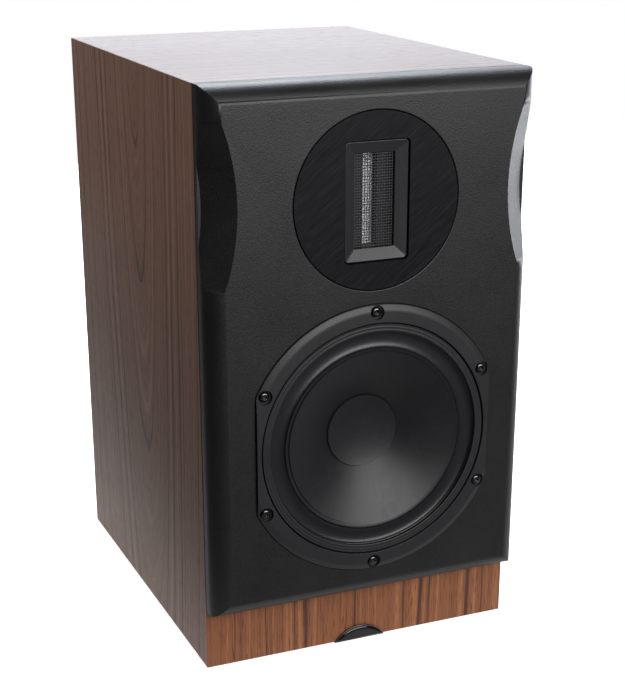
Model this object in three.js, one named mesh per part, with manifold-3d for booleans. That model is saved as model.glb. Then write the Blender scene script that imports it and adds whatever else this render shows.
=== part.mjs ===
// Two-way bookshelf speaker: a ribbon tweeter over a woofer in a walnut cabinet with a black baffle.
// Millimetres, +Z up, front towards -Y. x = 0 is the middle plane and z = 0 the cabinet's underside;
// y = 0 lies halfway between the woofer frame's face and the tips of the binding posts.

import * as THREE from "three";
import { mergeVertices } from "three/addons/utils/BufferGeometryUtils.js";
import Module from "manifold-3d";

const wasm = await Module();
wasm.setup();

// ---- driving dimensions ----

const WIDTH = 220;
const HEIGHT = 380;
const CABINET_DEPTH = 270;
const BAFFLE_THICKNESS = 20;
const FRAME_PROUD = 2.5; // the woofer frame stands this far in front of the baffle
const POST_REACH = 9; // the binding posts stand this far behind the cabinet
const GAP = 0.3; // clearance between touching pieces

const WALL = 15; // side, top and bottom panels
const THICK_WALL = 18; // front and back panels
const PLINTH_TOP = 42; // the baffle ends here, above the walnut plinth
const EDGE_RADIUS = 14;
const REVEAL = 1.2; // shadow line between baffle and cabinet
const MITRE = 0.15; // each mitred face is set back this far
const LINING = 15; // thickness of the felt
const LINING_BOTTOM = 243;
const BRACE_Z = [229, 241];
const BADGE_WIDTH = 37;
const BADGE_HEIGHT = 10;
const BADGE_THICKNESS = 1.4;

const WOOFER_Z = 152;
const TWEETER_Z = 306;
const TERMINAL_Z = 80;
const PORT_Z = 300;
const POST_X = 19;
const CUP_WIDTH = 70;
const CUP_HEIGHT = 50;
const CUP_DEPTH = 20;

const FRAME_RADIUS = 90;
const FRAME_FLAT = 81;
const FRAME_THICKNESS = 7;
const SCREW_CIRCLE = 84.9;
const SCREW_TILT = 27.4; // degrees above and below the horizontal for the four side screws
const WOOFER_HOLE = 77.5;
const CONE_RADIUS = 58.4;
const CAP_RADIUS = 24.3;
const COIL_RADIUS = 16.2;
const SKIN = 0.8; // thickness of the cone, dust cap, surround and spider
const ROLL_RADIUS = 66.6; // middle of the surround's roll
const ROLL_HALF_WIDTH = 5.8;
const ROLL_DEPTH = 2.2;
const LIP_DEPTH = 3.9; // the surround's outer lip behind the frame's face
const SPIDER_DEPTH = 36.9;
const SPIDER_WAVES = 2;
const SPIDER_WAVE_HEIGHT = 1.4;

const PLATE_RADIUS = 55;
const PLATE_THICKNESS = 4;
const SPIGOT_RADIUS = 46;
const SPIGOT_WALL = 3;
const SPIGOT_DEPTH = 50;
const MOUTH_WIDTH = 42;
const MOUTH_HEIGHT = 73.5;
const MOUTH_DEPTH = 7.5;
const MOUTH_RIM = 0.7;
const BEVEL_DEPTH = 4.5;
const WINDOW_WIDTH = 26.8;
const WINDOW_HEIGHT = 58.3;
const RIBBON_DEPTH = 17.3; // behind the baffle's face
const RIBBON_HEIGHT = 57;
const RIBBON_WIDTH = 8;
const RIBBON_FOLDS = 19;
const RIBBON_TAB = 3.4;

const SCALLOP_RADIUS = 145;
const SCALLOP_Z = 309;
const SCALLOP_CUT = 19.5; // how far it eats into the front face
const SCALLOP_DEPTH = 15; // from the front face to its ledge
const SCALLOP_SLANT = 17.5 / 15; // outward shift for each millimetre of depth

const ROUND = 40; // facets round a large circle
const PLATE_FACETS = 56; // facets round the tweeter's plate
const OVER = 5; // a cutter reaches this far past what it cuts

const TOTAL_DEPTH = FRAME_PROUD + BAFFLE_THICKNESS + CABINET_DEPTH + POST_REACH;
const FRAME_Y = -TOTAL_DEPTH / 2;
const BAFFLE_Y = FRAME_Y + FRAME_PROUD;
const CABINET_Y = BAFFLE_Y + BAFFLE_THICKNESS;
const BACK_Y = CABINET_Y + CABINET_DEPTH;
const INNER_FRONT_Y = CABINET_Y + THICK_WALL;
const INNER_BACK_Y = BACK_Y - THICK_WALL;
const INNER_X = WIDTH / 2 - WALL;
const INNER_TOP = HEIGHT - WALL;

// ---- finishes ----

const FINISH = {
  walnut: { color: 0x8a6248, roughness: 0.55, metalness: 0 },
  blackPaint: { color: 0x2b2b2c, roughness: 0.5, metalness: 0 },
  blackMetal: { color: 0x262628, roughness: 0.4, metalness: 0.6 },
  blackPlastic: { color: 0x1c1c1e, roughness: 0.45, metalness: 0 },
  redPlastic: { color: 0xa01818, roughness: 0.4, metalness: 0 },
  rubber: { color: 0x1a1a1c, roughness: 0.4, metalness: 0 },
  cone: { color: 0x2a2a2c, roughness: 0.5, metalness: 0 },
  steel: { color: 0xb8b8ba, roughness: 0.35, metalness: 1 },
  ferrite: { color: 0x3a3a3c, roughness: 0.7, metalness: 0.2 },
  copper: { color: 0xb87333, roughness: 0.35, metalness: 1 },
  aluminium: { color: 0xe0e0e4, roughness: 0.25, metalness: 1 },
  brass: { color: 0xc8a84a, roughness: 0.3, metalness: 1 },
  felt: { color: 0x77777a, roughness: 0.95, metalness: 0 },
  cloth: { color: 0xb58a3c, roughness: 0.85, metalness: 0 },
  boardGreen: { color: 0x1f5a3a, roughness: 0.5, metalness: 0 },
  ceramic: { color: 0xd8d4c8, roughness: 0.8, metalness: 0 },
};

const speaker = new THREE.Group();

function add(name, geometry, finish, x = 0, z = 0) {
  const mesh = new THREE.Mesh(geometry, new THREE.MeshStandardMaterial(FINISH[finish]));
  mesh.name = name;
  mesh.position.set(x, 0, z);
  speaker.add(mesh);
}

// ---- shape helpers ----

function solidOf(geometry) {
  const bare = geometry.clone();
  bare.deleteAttribute("normal");
  bare.deleteAttribute("uv");
  const merged = mergeVertices(bare, 1e-4);
  return new wasm.Manifold(
    new wasm.Mesh({
      numProp: 3,
      vertProperties: merged.attributes.position.array,
      triVerts: new Uint32Array(merged.index.array),
    }),
  );
}

function geometryOf(solid) {
  const mesh = solid.getMesh();
  const geometry = new THREE.BufferGeometry();
  geometry.setAttribute("position", new THREE.BufferAttribute(mesh.vertProperties, 3));
  geometry.setIndex(new THREE.BufferAttribute(mesh.triVerts, 1));
  const flat = geometry.toNonIndexed();
  flat.computeVertexNormals();
  return flat;
}

function cut(geometry, ...tools) {
  return geometryOf(tools.reduce((left, tool) => left.subtract(solidOf(tool)), solidOf(geometry)));
}

function join(first, second) {
  return geometryOf(solidOf(first).add(solidOf(second)));
}

function common(first, second) {
  return geometryOf(solidOf(first).intersect(solidOf(second)));
}

// A profile of [radius, y] pairs turned about the Y axis. It runs anticlockwise, with radius to the
// right and y up, and either starts and ends on the axis or is closed here.
function lathe(profile, segments = ROUND) {
  const points = profile.map(([radius, y]) => new THREE.Vector2(radius, y));
  if (points[0].x > 0) {
    points.push(points[0].clone());
  }
  return new THREE.LatheGeometry(points, segments);
}

function ring(inner, outer, front, back, segments = ROUND) {
  return lathe([[inner, front], [outer, front], [outer, back], [inner, back]], segments);
}

function rod(radius, front, back, segments = ROUND) {
  return lathe([[0, front], [radius, front], [radius, back], [0, back]], segments);
}

// The outline of a thin wall along a line of [radius, y] points, from the inner end to the outer.
function thinWall(line, thickness) {
  const half = thickness / 2;
  const side = (offset) =>
    line.map(([radius, y], i) => {
      const before = line[Math.max(i - 1, 0)];
      const after = line[Math.min(i + 1, line.length - 1)];
      const along = new THREE.Vector2(after[0] - before[0], after[1] - before[1]).normalize();
      const shifted = radius - along.y * offset;
      return [radius === 0 ? 0 : shifted, y + along.x * offset];
    });
  return [...side(-half), ...side(half).reverse()];
}

function box(x0, x1, y0, y1, z0, z1) {
  const geometry = new THREE.BoxGeometry(x1 - x0, y1 - y0, z1 - z0);
  return geometry.translate((x0 + x1) / 2, (y0 + y1) / 2, (z0 + z1) / 2);
}

// A shape drawn in x and z, seen from the front, and extruded from front to back.
function plate(shape, front, back, curveSegments = 8) {
  const options = { depth: back - front, bevelEnabled: false, curveSegments };
  return new THREE.ExtrudeGeometry(shape, options).rotateX(Math.PI / 2).translate(0, back, 0);
}

function outlineShape(points) {
  return new THREE.Shape(points.map(([x, z]) => new THREE.Vector2(x, z)));
}

function rectangle(x0, x1, z0, z1) {
  return outlineShape([[x0, z0], [x1, z0], [x1, z1], [x0, z1]]);
}

function roundedRectangle(width, height, radius) {
  const shape = new THREE.Shape();
  const x = width / 2 - radius;
  const z = height / 2 - radius;
  shape.absarc(x, z, radius, 0, Math.PI / 2);
  shape.absarc(-x, z, radius, Math.PI / 2, Math.PI);
  shape.absarc(-x, -z, radius, Math.PI, 1.5 * Math.PI);
  shape.absarc(x, -z, radius, 1.5 * Math.PI, 2 * Math.PI);
  shape.closePath();
  return shape;
}

// A block whose two faces across `axis` differ: the inner face is set in from the outer one.
// low and high are the outer face's corners along the other two axes, and insets how far the
// inner face is set in from each, as [at low, at high].
function mitredPanel(axis, outside, inside, low, high, insets) {
  const geometry = new THREE.BoxGeometry(1, 1, 1);
  const positions = geometry.attributes.position;
  const across = [0, 1, 2].filter((i) => i !== axis);
  const sides = [Math.min(outside, inside), Math.max(outside, inside)];
  for (let i = 0; i < positions.count; i += 1) {
    const corner = [positions.getX(i), positions.getY(i), positions.getZ(i)];
    const level = corner[axis] < 0 ? sides[0] : sides[1];
    const inset = level === inside ? 1 : 0;
    const place = [0, 0, 0];
    place[axis] = level;
    across.forEach((other, k) => {
      const atLow = low[k] + inset * insets[k][0];
      const atHigh = high[k] - inset * insets[k][1];
      place[other] = corner[other] < 0 ? atLow : atHigh;
    });
    positions.setXYZ(i, ...place);
  }
  geometry.computeVertexNormals();
  return geometry;
}

function circlePoints(radius, degrees) {
  return degrees.map((angle) => {
    const turn = THREE.MathUtils.degToRad(angle);
    return [radius * Math.cos(turn), radius * Math.sin(turn)];
  });
}

// ---- cabinet ----

const halfWidth = WIDTH / 2;

const SEAT_GAP = 0.4; // clearance round the drive units

function driverHole(radius, z) {
  return rod(radius, BAFFLE_Y - OVER, INNER_FRONT_Y + OVER).translate(0, 0, z);
}

const wooferHole = driverHole(WOOFER_HOLE, WOOFER_Z);
const tweeterHole = driverHole(SPIGOT_RADIUS + SEAT_GAP, TWEETER_Z);

function sidePanel(sign) {
  const low = [CABINET_Y + MITRE, MITRE];
  const high = [BACK_Y, HEIGHT - MITRE];
  const insets = [[THICK_WALL, 0], [WALL, WALL]];
  return mitredPanel(0, sign * halfWidth, sign * INNER_X, low, high, insets);
}

function levelPanel(outside, inside) {
  const low = [-halfWidth + MITRE, CABINET_Y + MITRE];
  const high = [halfWidth - MITRE, BACK_Y];
  const insets = [[WALL, WALL], [THICK_WALL, 0]];
  return mitredPanel(2, outside, inside, low, high, insets);
}

function frontPanel() {
  const low = [-halfWidth + MITRE, MITRE];
  const high = [halfWidth - MITRE, HEIGHT - MITRE];
  const insets = [[WALL, WALL], [WALL, WALL]];
  const panel = mitredPanel(1, CABINET_Y, INNER_FRONT_Y, low, high, insets);
  return cut(panel, wooferHole, tweeterHole);
}

function backPanel() {
  const x = INNER_X - GAP;
  const panel = box(-x, x, INNER_BACK_Y, BACK_Y, WALL + GAP, INNER_TOP - GAP);
  const portHole = rod(33.4, INNER_BACK_Y - OVER, BACK_Y + OVER, 32).translate(0, 0, PORT_Z);
  const cupX = CUP_WIDTH / 2 + SEAT_GAP;
  const cupZ = CUP_HEIGHT / 2 + SEAT_GAP;
  const cupShape = rectangle(-cupX, cupX, TERMINAL_Z - cupZ, TERMINAL_Z + cupZ);
  const cupHole = plate(cupShape, INNER_BACK_Y - OVER, BACK_Y + OVER);
  const pilots = terminalScrewPlaces.map(([x, z]) =>
    rod(1.9, BACK_Y - 14.5, BACK_Y + OVER, 8).translate(x, 0, z),
  );
  return cut(panel, portHole, cupHole, ...pilots);
}

function windowBrace() {
  const x = INNER_X - GAP;
  const [bottom, top] = BRACE_Z;
  const brace = box(-x, x, INNER_FRONT_Y + GAP, INNER_BACK_Y - GAP, bottom, top);
  return cut(brace, box(-62, 62, -80, 90, bottom - OVER, top + OVER));
}

// Felt lining: one strip bent up one side wall, across the top and down the other.
function lining() {
  const outer = INNER_X - 2 * GAP;
  const inner = outer - LINING;
  const top = INNER_TOP - 2 * GAP;
  const ceiling = top - LINING;
  const shape = outlineShape([
    [-outer, LINING_BOTTOM],
    [-inner, LINING_BOTTOM],
    [-inner, ceiling],
    [inner, ceiling],
    [inner, LINING_BOTTOM],
    [outer, LINING_BOTTOM],
    [outer, top],
    [-outer, top],
  ]);
  return plate(shape, BAFFLE_Y + SPIGOT_DEPTH + 3, INNER_BACK_Y - 2);
}

// ---- front baffle ----

// Section through the baffle: across from low to high, y from the face to the back, with both
// front edges rounded and both back edges rebated for the shadow line.
function baffleSection(low, high) {
  const back = CABINET_Y - GAP;
  const step = back - REVEAL;
  const shape = new THREE.Shape();
  const r = EDGE_RADIUS;
  shape.moveTo(low + REVEAL, back);
  shape.lineTo(low + REVEAL, step);
  shape.lineTo(low, step);
  shape.absarc(low + r, BAFFLE_Y + r, r, Math.PI, 1.5 * Math.PI);
  shape.absarc(high - r, BAFFLE_Y + r, r, 1.5 * Math.PI, 2 * Math.PI);
  shape.lineTo(high, step);
  shape.lineTo(high - REVEAL, step);
  shape.lineTo(high - REVEAL, back);
  shape.closePath();
  return shape;
}

// The scallop's cutter: the part of an upright disc that reaches into the baffle, sheared outward
// as it goes back.
function scallop(sign) {
  const centre = halfWidth - SCALLOP_CUT + SCALLOP_RADIUS;
  const facing = sign > 0 ? Math.PI : 0;
  const reach = THREE.MathUtils.degToRad(33);
  const shape = new THREE.Shape();
  shape.absarc(sign * centre, SCALLOP_Z, SCALLOP_RADIUS, facing - reach, facing + reach);
  shape.closePath();
  const cutter = plate(shape, BAFFLE_Y - OVER, BAFFLE_Y + SCALLOP_DEPTH, 20);
  const positions = cutter.attributes.position;
  for (let i = 0; i < positions.count; i += 1) {
    const slide = (positions.getY(i) - BAFFLE_Y) * SCALLOP_SLANT;
    positions.setX(i, positions.getX(i) + sign * slide);
  }
  return cutter;
}

function frontBaffle() {
  const extruded = (section, depth) =>
    new THREE.ExtrudeGeometry(section, { depth, bevelEnabled: false, curveSegments: 6 });
  const upright = extruded(baffleSection(-halfWidth, halfWidth), HEIGHT);
  const across = extruded(baffleSection(PLINTH_TOP, HEIGHT), WIDTH);
  across.rotateY(-Math.PI / 2).translate(halfWidth, 0, 0);
  const slab = common(upright, across);
  const front = BAFFLE_Y - OVER;
  const flat = FRAME_FLAT + SEAT_GAP;
  const frameSeat = common(
    rod(FRAME_RADIUS + SEAT_GAP, front, FRAME_Y + FRAME_THICKNESS + GAP),
    box(-flat, flat, front - OVER, CABINET_Y, -FRAME_RADIUS - OVER, FRAME_RADIUS + OVER),
  ).translate(0, 0, WOOFER_Z);
  const plateBack = BAFFLE_Y + PLATE_THICKNESS + GAP;
  const plateSeat = rod(PLATE_RADIUS + SEAT_GAP, front, plateBack, PLATE_FACETS);
  plateSeat.translate(0, 0, TWEETER_Z);
  const pilots = wooferScrewPlaces.map(([x, z]) =>
    rod(2.4, front, BAFFLE_Y + 17.5, 8).translate(x, 0, WOOFER_Z + z),
  );
  return cut(slab, wooferHole, tweeterHole, frameSeat, plateSeat, scallop(1), scallop(-1), ...pilots);
}

// A blank domed badge: a circle segment standing on its chord.
function badge() {
  const radius = (BADGE_WIDTH ** 2 / 4 + BADGE_HEIGHT ** 2) / (2 * BADGE_HEIGHT);
  const reach = Math.asin(BADGE_WIDTH / 2 / radius);
  const shape = new THREE.Shape();
  shape.absarc(0, BADGE_HEIGHT - radius, radius, Math.PI / 2 - reach, Math.PI / 2 + reach);
  shape.closePath();
  const back = CABINET_Y - GAP;
  return plate(shape, back - BADGE_THICKNESS, back, 16);
}

// ---- woofer: depths are measured back from the frame's face ----

const wooferScrewPlaces = circlePoints(SCREW_CIRCLE, [
  90,
  SCREW_TILT,
  -SCREW_TILT,
  -90,
  180 + SCREW_TILT,
  180 - SCREW_TILT,
]);

const behindFrame = (profile) => profile.map(([radius, depth]) => [radius, FRAME_Y + depth]);

function basket() {
  const outline = [
    [FRAME_RADIUS, 1.6],
    [FRAME_RADIUS, FRAME_THICKNESS],
    [77, FRAME_THICKNESS],
    [77, 10],
    [53.5, 38],
    [46.5, 45.7],
    [30, 45.7],
    [30, 43.2],
    [43.5, 43.2],
    [45.5, 37.6],
    [50.6, 37.6],
    [74.4, 10.8],
    [72.9, 8.6],
    [72.9, 4.6],
    [78.2, 4.6],
    [78.2, 0],
    [86, 0],
  ];
  const bowl = lathe(behindFrame(outline));
  const high = FRAME_RADIUS + OVER;
  const flats = box(-FRAME_FLAT, FRAME_FLAT, FRAME_Y - OVER, FRAME_Y + 60, -high, high);
  const windows = [0, 60, 120, 180, 240, 300].map((angle) => {
    const inner = circlePoints(51, [angle - 20, angle + 20]);
    const outer = circlePoints(95, [angle + 20, angle - 20]);
    return plate(outlineShape([...inner, ...outer]), FRAME_Y + 12.5, FRAME_Y + 35.5);
  });
  const holes = wooferScrewPlaces.flatMap(([x, z]) => [
    rod(4.75, FRAME_Y - OVER, FRAME_Y + 3, 16).translate(x, 0, z),
    rod(2.3, FRAME_Y - OVER, FRAME_Y + FRAME_THICKNESS + OVER, 8).translate(x, 0, z),
  ]);
  return cut(common(bowl, flats), ...windows, ...holes);
}

function trimRing() {
  const inner = 72.2;
  const outer = 77.2;
  const outline = [[outer, 0.6], [outer, 3.1], [inner, 3.1]];
  for (let i = 0; i < outer - inner; i += 1) {
    outline.push([inner + i, i % 2 ? 0.6 : 1.2]);
  }
  return lathe(behindFrame(outline));
}

// Depth of the cone's front face below the frame's face, slightly flared.
function coneDepth(radius) {
  const inward = CONE_RADIUS - radius;
  return 3.54 + 0.456 * inward + 0.00265 * inward * inward;
}

function cone() {
  const radii = [16.9, 24, 34, 46, CONE_RADIUS];
  const line = radii.map((radius) => [radius, coneDepth(radius) + SKIN / 2]);
  return lathe(behindFrame(thinWall(line, SKIN)));
}

function dustCap() {
  const radii = [0, 9, 17, CAP_RADIUS];
  const line = radii.map((radius) => [radius, 21.2 + 3.8 * (1 - (radius / CAP_RADIUS) ** 2)]);
  return lathe(behindFrame(thinWall(line, SKIN)), 32);
}

// Shallow inverted roll with a flat lip on each side: the inner lip lies behind the cone's edge.
function surround() {
  const steps = 8;
  const overlap = 2.2;
  const line = [CONE_RADIUS - overlap, CONE_RADIUS].map((radius) => [
    radius,
    coneDepth(radius) + 2 * SKIN,
  ]);
  for (let i = 0; i <= steps; i += 1) {
    const turn = Math.PI * (1 - i / steps);
    const radius = ROLL_RADIUS + ROLL_HALF_WIDTH * Math.cos(turn);
    line.push([radius, LIP_DEPTH + ROLL_DEPTH * Math.sin(turn)]);
  }
  line.push([76.8, LIP_DEPTH]);
  return lathe(behindFrame(thinWall(line, SKIN)));
}

function spider() {
  const line = [[16.8, SPIDER_DEPTH]];
  const from = 20;
  const to = 45;
  const steps = SPIDER_WAVES * 4;
  for (let i = 0; i <= steps; i += 1) {
    const wave = Math.sin((2 * Math.PI * SPIDER_WAVES * i) / steps);
    line.push([from + ((to - from) * i) / steps, SPIDER_DEPTH - SPIDER_WAVE_HEIGHT * wave]);
  }
  line.push([50.2, SPIDER_DEPTH]);
  return lathe(behindFrame(thinWall(line, SKIN)), 24);
}

function yoke() {
  const outline = [[45, 67.6], [45, 73.6], [5, 73.6], [5, 46], [15, 46], [15, 67.6]];
  return lathe(behindFrame(outline), 32);
}

function former() {
  return ring(COIL_RADIUS - 0.6, COIL_RADIUS, FRAME_Y + 26, FRAME_Y + 57, 24);
}

function voiceCoil() {
  return ring(COIL_RADIUS + GAP, 17.6, FRAME_Y + 42, FRAME_Y + 56, 24);
}

function topPlate() {
  return ring(18.6, 45, FRAME_Y + 46, FRAME_Y + 52, 32);
}

function magnet() {
  return ring(24, 50, FRAME_Y + 52 + GAP, FRAME_Y + 67 + GAP, 32);
}

function wooferScrew() {
  const head = [[0, 0.7], [2.6, 1.1], [3.7, 2.7], [2, 2.7], [2, 19], [0, 20]];
  return lathe(behindFrame(head), 12);
}

// ---- tweeter: depths are measured back from the baffle's face ----

const behindBaffle = (profile) => profile.map(([radius, depth]) => [radius, BAFFLE_Y + depth]);

function tweeterPlate() {
  const inside = SPIGOT_RADIUS - SPIGOT_WALL;
  const chamfer = 0.3;
  const outline = [
    [0, 0],
    [PLATE_RADIUS - chamfer, 0],
    [PLATE_RADIUS, chamfer],
    [PLATE_RADIUS, PLATE_THICKNESS],
    [SPIGOT_RADIUS, PLATE_THICKNESS],
    [SPIGOT_RADIUS, SPIGOT_DEPTH],
    [inside, SPIGOT_DEPTH],
    [inside, PLATE_THICKNESS],
    [0, PLATE_THICKNESS],
  ];
  const hole = roundedRectangle(MOUTH_WIDTH + 2 * GAP, MOUTH_HEIGHT + 2 * GAP, 2.8);
  const cutter = plate(hole, BAFFLE_Y - OVER, BAFFLE_Y + PLATE_THICKNESS + OVER, 4);
  return cut(lathe(behindBaffle(outline), PLATE_FACETS), cutter);
}

// Bevelled mouth: its four walls slope from a thin rim down to the window, and the mesh sits in a
// rebate behind.
function tweeterMouth() {
  const shape = roundedRectangle(MOUTH_WIDTH, MOUTH_HEIGHT, 2.5);
  const back = BAFFLE_Y + MOUTH_DEPTH;
  const over = 0.5;
  const grow = 1 + over / BEVEL_DEPTH;
  const slopeX = ((MOUTH_WIDTH - WINDOW_WIDTH) / 2 - MOUTH_RIM) * grow;
  const slopeZ = ((MOUTH_HEIGHT - WINDOW_HEIGHT) / 2 - MOUTH_RIM) * grow;
  const x = WINDOW_WIDTH / 2;
  const z = WINDOW_HEIGHT / 2;
  const funnel = mitredPanel(
    1,
    BAFFLE_Y - over,
    BAFFLE_Y + BEVEL_DEPTH,
    [-x - slopeX, -z - slopeZ],
    [x + slopeX, z + slopeZ],
    [[slopeX, slopeX], [slopeZ, slopeZ]],
  );
  const window = box(-x, x, BAFFLE_Y, back + OVER, -z, z);
  const seat = 1.9;
  const seatFront = BAFFLE_Y + BEVEL_DEPTH + 1.2;
  const rebate = box(-x - seat, x + seat, seatFront, back + OVER, -z - seat, z + seat);
  return cut(plate(shape, BAFFLE_Y, back, 4), funnel, window, rebate);
}

// Protective mesh, drawn with a coarse square weave.
function tweeterMesh() {
  const width = WINDOW_WIDTH + 3.2;
  const height = WINDOW_HEIGHT + 3.2;
  const columns = 5;
  const rows = 11;
  const wireWidth = 1.2;
  const stepX = (WINDOW_WIDTH - wireWidth) / columns;
  const stepZ = (WINDOW_HEIGHT - wireWidth) / rows;
  const front = BAFFLE_Y + 6;
  const back = front + 0.5;
  const openings = [];
  for (let column = 0; column < columns; column += 1) {
    for (let row = 0; row < rows; row += 1) {
      const left = -WINDOW_WIDTH / 2 + wireWidth + column * stepX;
      const right = left + stepX - wireWidth;
      const bottom = -WINDOW_HEIGHT / 2 + wireWidth + row * stepZ;
      const top = bottom + stepZ - wireWidth;
      openings.push(box(left, right, front - OVER, back + OVER, bottom, top));
    }
  }
  return cut(box(-width / 2, width / 2, front, back, -height / 2, height / 2), ...openings);
}

// A shape drawn in z (across) and y (up), extruded along X over the given width.
function acrossX(points, width) {
  const shape = new THREE.Shape(points.map(([z, y]) => new THREE.Vector2(z, y)));
  const geometry = new THREE.ExtrudeGeometry(shape, { depth: width, bevelEnabled: false });
  return geometry.rotateY(-Math.PI / 2).translate(width / 2, 0, 0);
}

// Corrugated foil with a flat tab at each end, held in the clamps' slots.
function ribbonFoil() {
  const thickness = 0.25;
  const wave = 0.6;
  const turns = RIBBON_FOLDS * 2;
  const middle = BAFFLE_Y + RIBBON_DEPTH;
  const end = RIBBON_HEIGHT / 2;
  const line = [[-end - RIBBON_TAB, 0], [-end, 0]];
  for (let i = 0; i < turns; i += 1) {
    line.push([-end + (RIBBON_HEIGHT * (i + 0.5)) / turns, i % 2 ? -wave : wave]);
  }
  line.push([end, 0], [end + RIBBON_TAB, 0]);
  const front = line.map(([z, offset]) => [z, middle + offset - thickness / 2]);
  const back = line.map(([z, offset]) => [z, middle + offset + thickness / 2]).reverse();
  return acrossX([...front, ...back], RIBBON_WIDTH);
}

function ribbonClamp(sign) {
  const near = sign * (RIBBON_HEIGHT / 2 + 0.5);
  const deep = sign * (RIBBON_HEIGHT / 2 + 4.2);
  const far = sign * (RIBBON_HEIGHT / 2 + 7.2);
  const middle = BAFFLE_Y + RIBBON_DEPTH;
  const front = middle - 4;
  const back = middle + 4;
  const slot = 0.8;
  const outline = [
    [near, front],
    [far, front],
    [far, back],
    [near, back],
    [near, middle + slot],
    [deep, middle + slot],
    [deep, middle - slot],
    [near, middle - slot],
  ];
  return acrossX(sign > 0 ? outline : outline.reverse(), 8.8);
}

function ribbonMagnet(sign) {
  const x = [sign * 5, sign * 14].sort((a, b) => a - b);
  return box(x[0], x[1], BAFFLE_Y + 11.5, BAFFLE_Y + 23, -30, 30);
}

function ribbonYoke() {
  const front = BAFFLE_Y + 11.5;
  const floor = BAFFLE_Y + 23.3;
  const back = BAFFLE_Y + 27.3;
  const block = box(-19, 19, front, back, -30.5, 30.5);
  const channel = box(-14.3, 14.3, front - OVER, floor, -40, 40);
  const vent = box(-4, 4, floor - OVER, back + OVER, -24, 24);
  return cut(block, channel, vent);
}

function tweeterHousing() {
  const outline = [[0, 67.5], [37.5, 67.5], [37.5, 9], [40, 9], [40, 70], [0, 70]];
  return lathe(behindBaffle(outline), 32);
}

function ribbonTransformer() {
  const outline = [[9, 35], [12, 32], [19, 32], [22, 35], [22, 49], [19, 52], [12, 52], [9, 49]];
  return lathe(behindBaffle(outline), 24);
}

function ringNut() {
  return ring(SPIGOT_RADIUS + SEAT_GAP, 54, BAFFLE_Y + 38.3, BAFFLE_Y + 46.3, 32);
}

// ---- crossover: distances are measured out from the cabinet's back face, so inside is negative ----

const fromBack = (profile) => profile.map(([radius, out]) => [radius, BACK_Y + out]);
const BOARD_Z = TERMINAL_Z + 15;
const BOARD_BACK = BACK_Y - 36;
const BOARD_FRONT = BOARD_BACK - 1.6;
const MOUNTED_Y = BOARD_FRONT - 0.4; // the parts on the board start here and reach forward

function crossoverBoard() {
  const shape = rectangle(-52, 52, BOARD_Z - 38, BOARD_Z + 38);
  for (const x of [-POST_X, POST_X]) {
    const hole = new THREE.Path();
    hole.absarc(x, TERMINAL_Z, 3.4, 0, 2 * Math.PI);
    shape.holes.push(hole);
  }
  return plate(shape, BOARD_FRONT, BOARD_BACK, 8);
}

function coil(inner, outer, height) {
  return ring(inner, outer, MOUNTED_Y - height, MOUNTED_Y, 24);
}

function capacitor(radius, length) {
  const geometry = new THREE.CylinderGeometry(radius, radius, length, 16);
  return geometry.rotateZ(Math.PI / 2).translate(0, MOUNTED_Y - radius, 0);
}

function resistor() {
  return box(25, 51, MOUNTED_Y - 9, MOUNTED_Y, BOARD_Z - 31, BOARD_Z - 22);
}

// ---- back: terminal cup, binding posts and port ----

const terminalScrewPlaces = [[-38.3, -28.3], [38.3, -28.3], [38.3, 28.3], [-38.3, 28.3]].map(
  ([x, z]) => [x, TERMINAL_Z + z],
);

function terminalCup() {
  const wall = 3;
  const flangeShape = roundedRectangle(CUP_WIDTH + 14, CUP_HEIGHT + 14, 6);
  const flange = plate(flangeShape, BACK_Y + GAP, BACK_Y + 2.8, 4);
  const floor = BACK_Y - CUP_DEPTH;
  const bodyShape = roundedRectangle(CUP_WIDTH, CUP_HEIGHT, 5);
  const body = plate(bodyShape, floor - wall, BACK_Y + 1, 4);
  const pocketShape = roundedRectangle(CUP_WIDTH - 2 * wall, CUP_HEIGHT - 2 * wall, 4);
  const pocket = plate(pocketShape, floor, BACK_Y + OVER, 4);
  const posts = [-POST_X, POST_X].map((x) =>
    rod(3.3, floor - wall - OVER, BACK_Y, 16).translate(x, 0, 0),
  );
  const screws = terminalScrewPlaces.map(([x, z]) =>
    rod(1.9, BACK_Y - OVER, BACK_Y + OVER, 8).translate(x, 0, z - TERMINAL_Z),
  );
  return cut(join(flange, body), pocket, ...posts, ...screws);
}

function terminalScrew() {
  const outline = [[0, -13], [1.5, -12], [1.5, 3.1], [3, 3.1], [2.4, 4.4], [0, 4.7]];
  return lathe(fromBack(outline), 10);
}

function postStud() {
  const outline = [
    [0, -40],
    [3, -40],
    [3, -19.7],
    [6, -19.7],
    [6, -15],
    [3, -15],
    [3, 7.5],
    [2.05, 7.5],
    [2.05, -8],
    [0, -8],
  ];
  return lathe(fromBack(outline), 16);
}

function postWasher() {
  return ring(3.4, 6.2, BACK_Y - 14.7, BACK_Y - 13.5, 20);
}

// Fluted knob, bored through so that a plug can reach the stud's socket.
function postKnob() {
  const flutes = 12;
  const shape = new THREE.Shape();
  for (let i = 0; i < flutes * 2; i += 1) {
    const turn = (Math.PI * (i + 0.5)) / flutes;
    const radius = i % 2 ? 6.2 : 6.9;
    shape[i ? "lineTo" : "moveTo"](radius * Math.cos(turn), radius * Math.sin(turn));
  }
  shape.closePath();
  const bore = new THREE.Path();
  bore.absarc(0, 0, 3.4, 0, 2 * Math.PI);
  shape.holes.push(bore);
  return plate(shape, BACK_Y - 13.2, BACK_Y + POST_REACH, 8);
}

function portTube() {
  const outline = [
    [30, -120],
    [27.8, -112],
    [27.8, -19],
    [33, -19],
    [33, 0.3],
    [40, 0.3],
    [40, 2],
    [38.5, 2.8],
    [34, 2.2],
    [29, -2],
    [26, -9],
    [25, -17],
    [25, -111],
    [27.4, -120],
  ];
  return lathe(fromBack(outline), 32);
}

// ---- internal wiring ----

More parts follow.
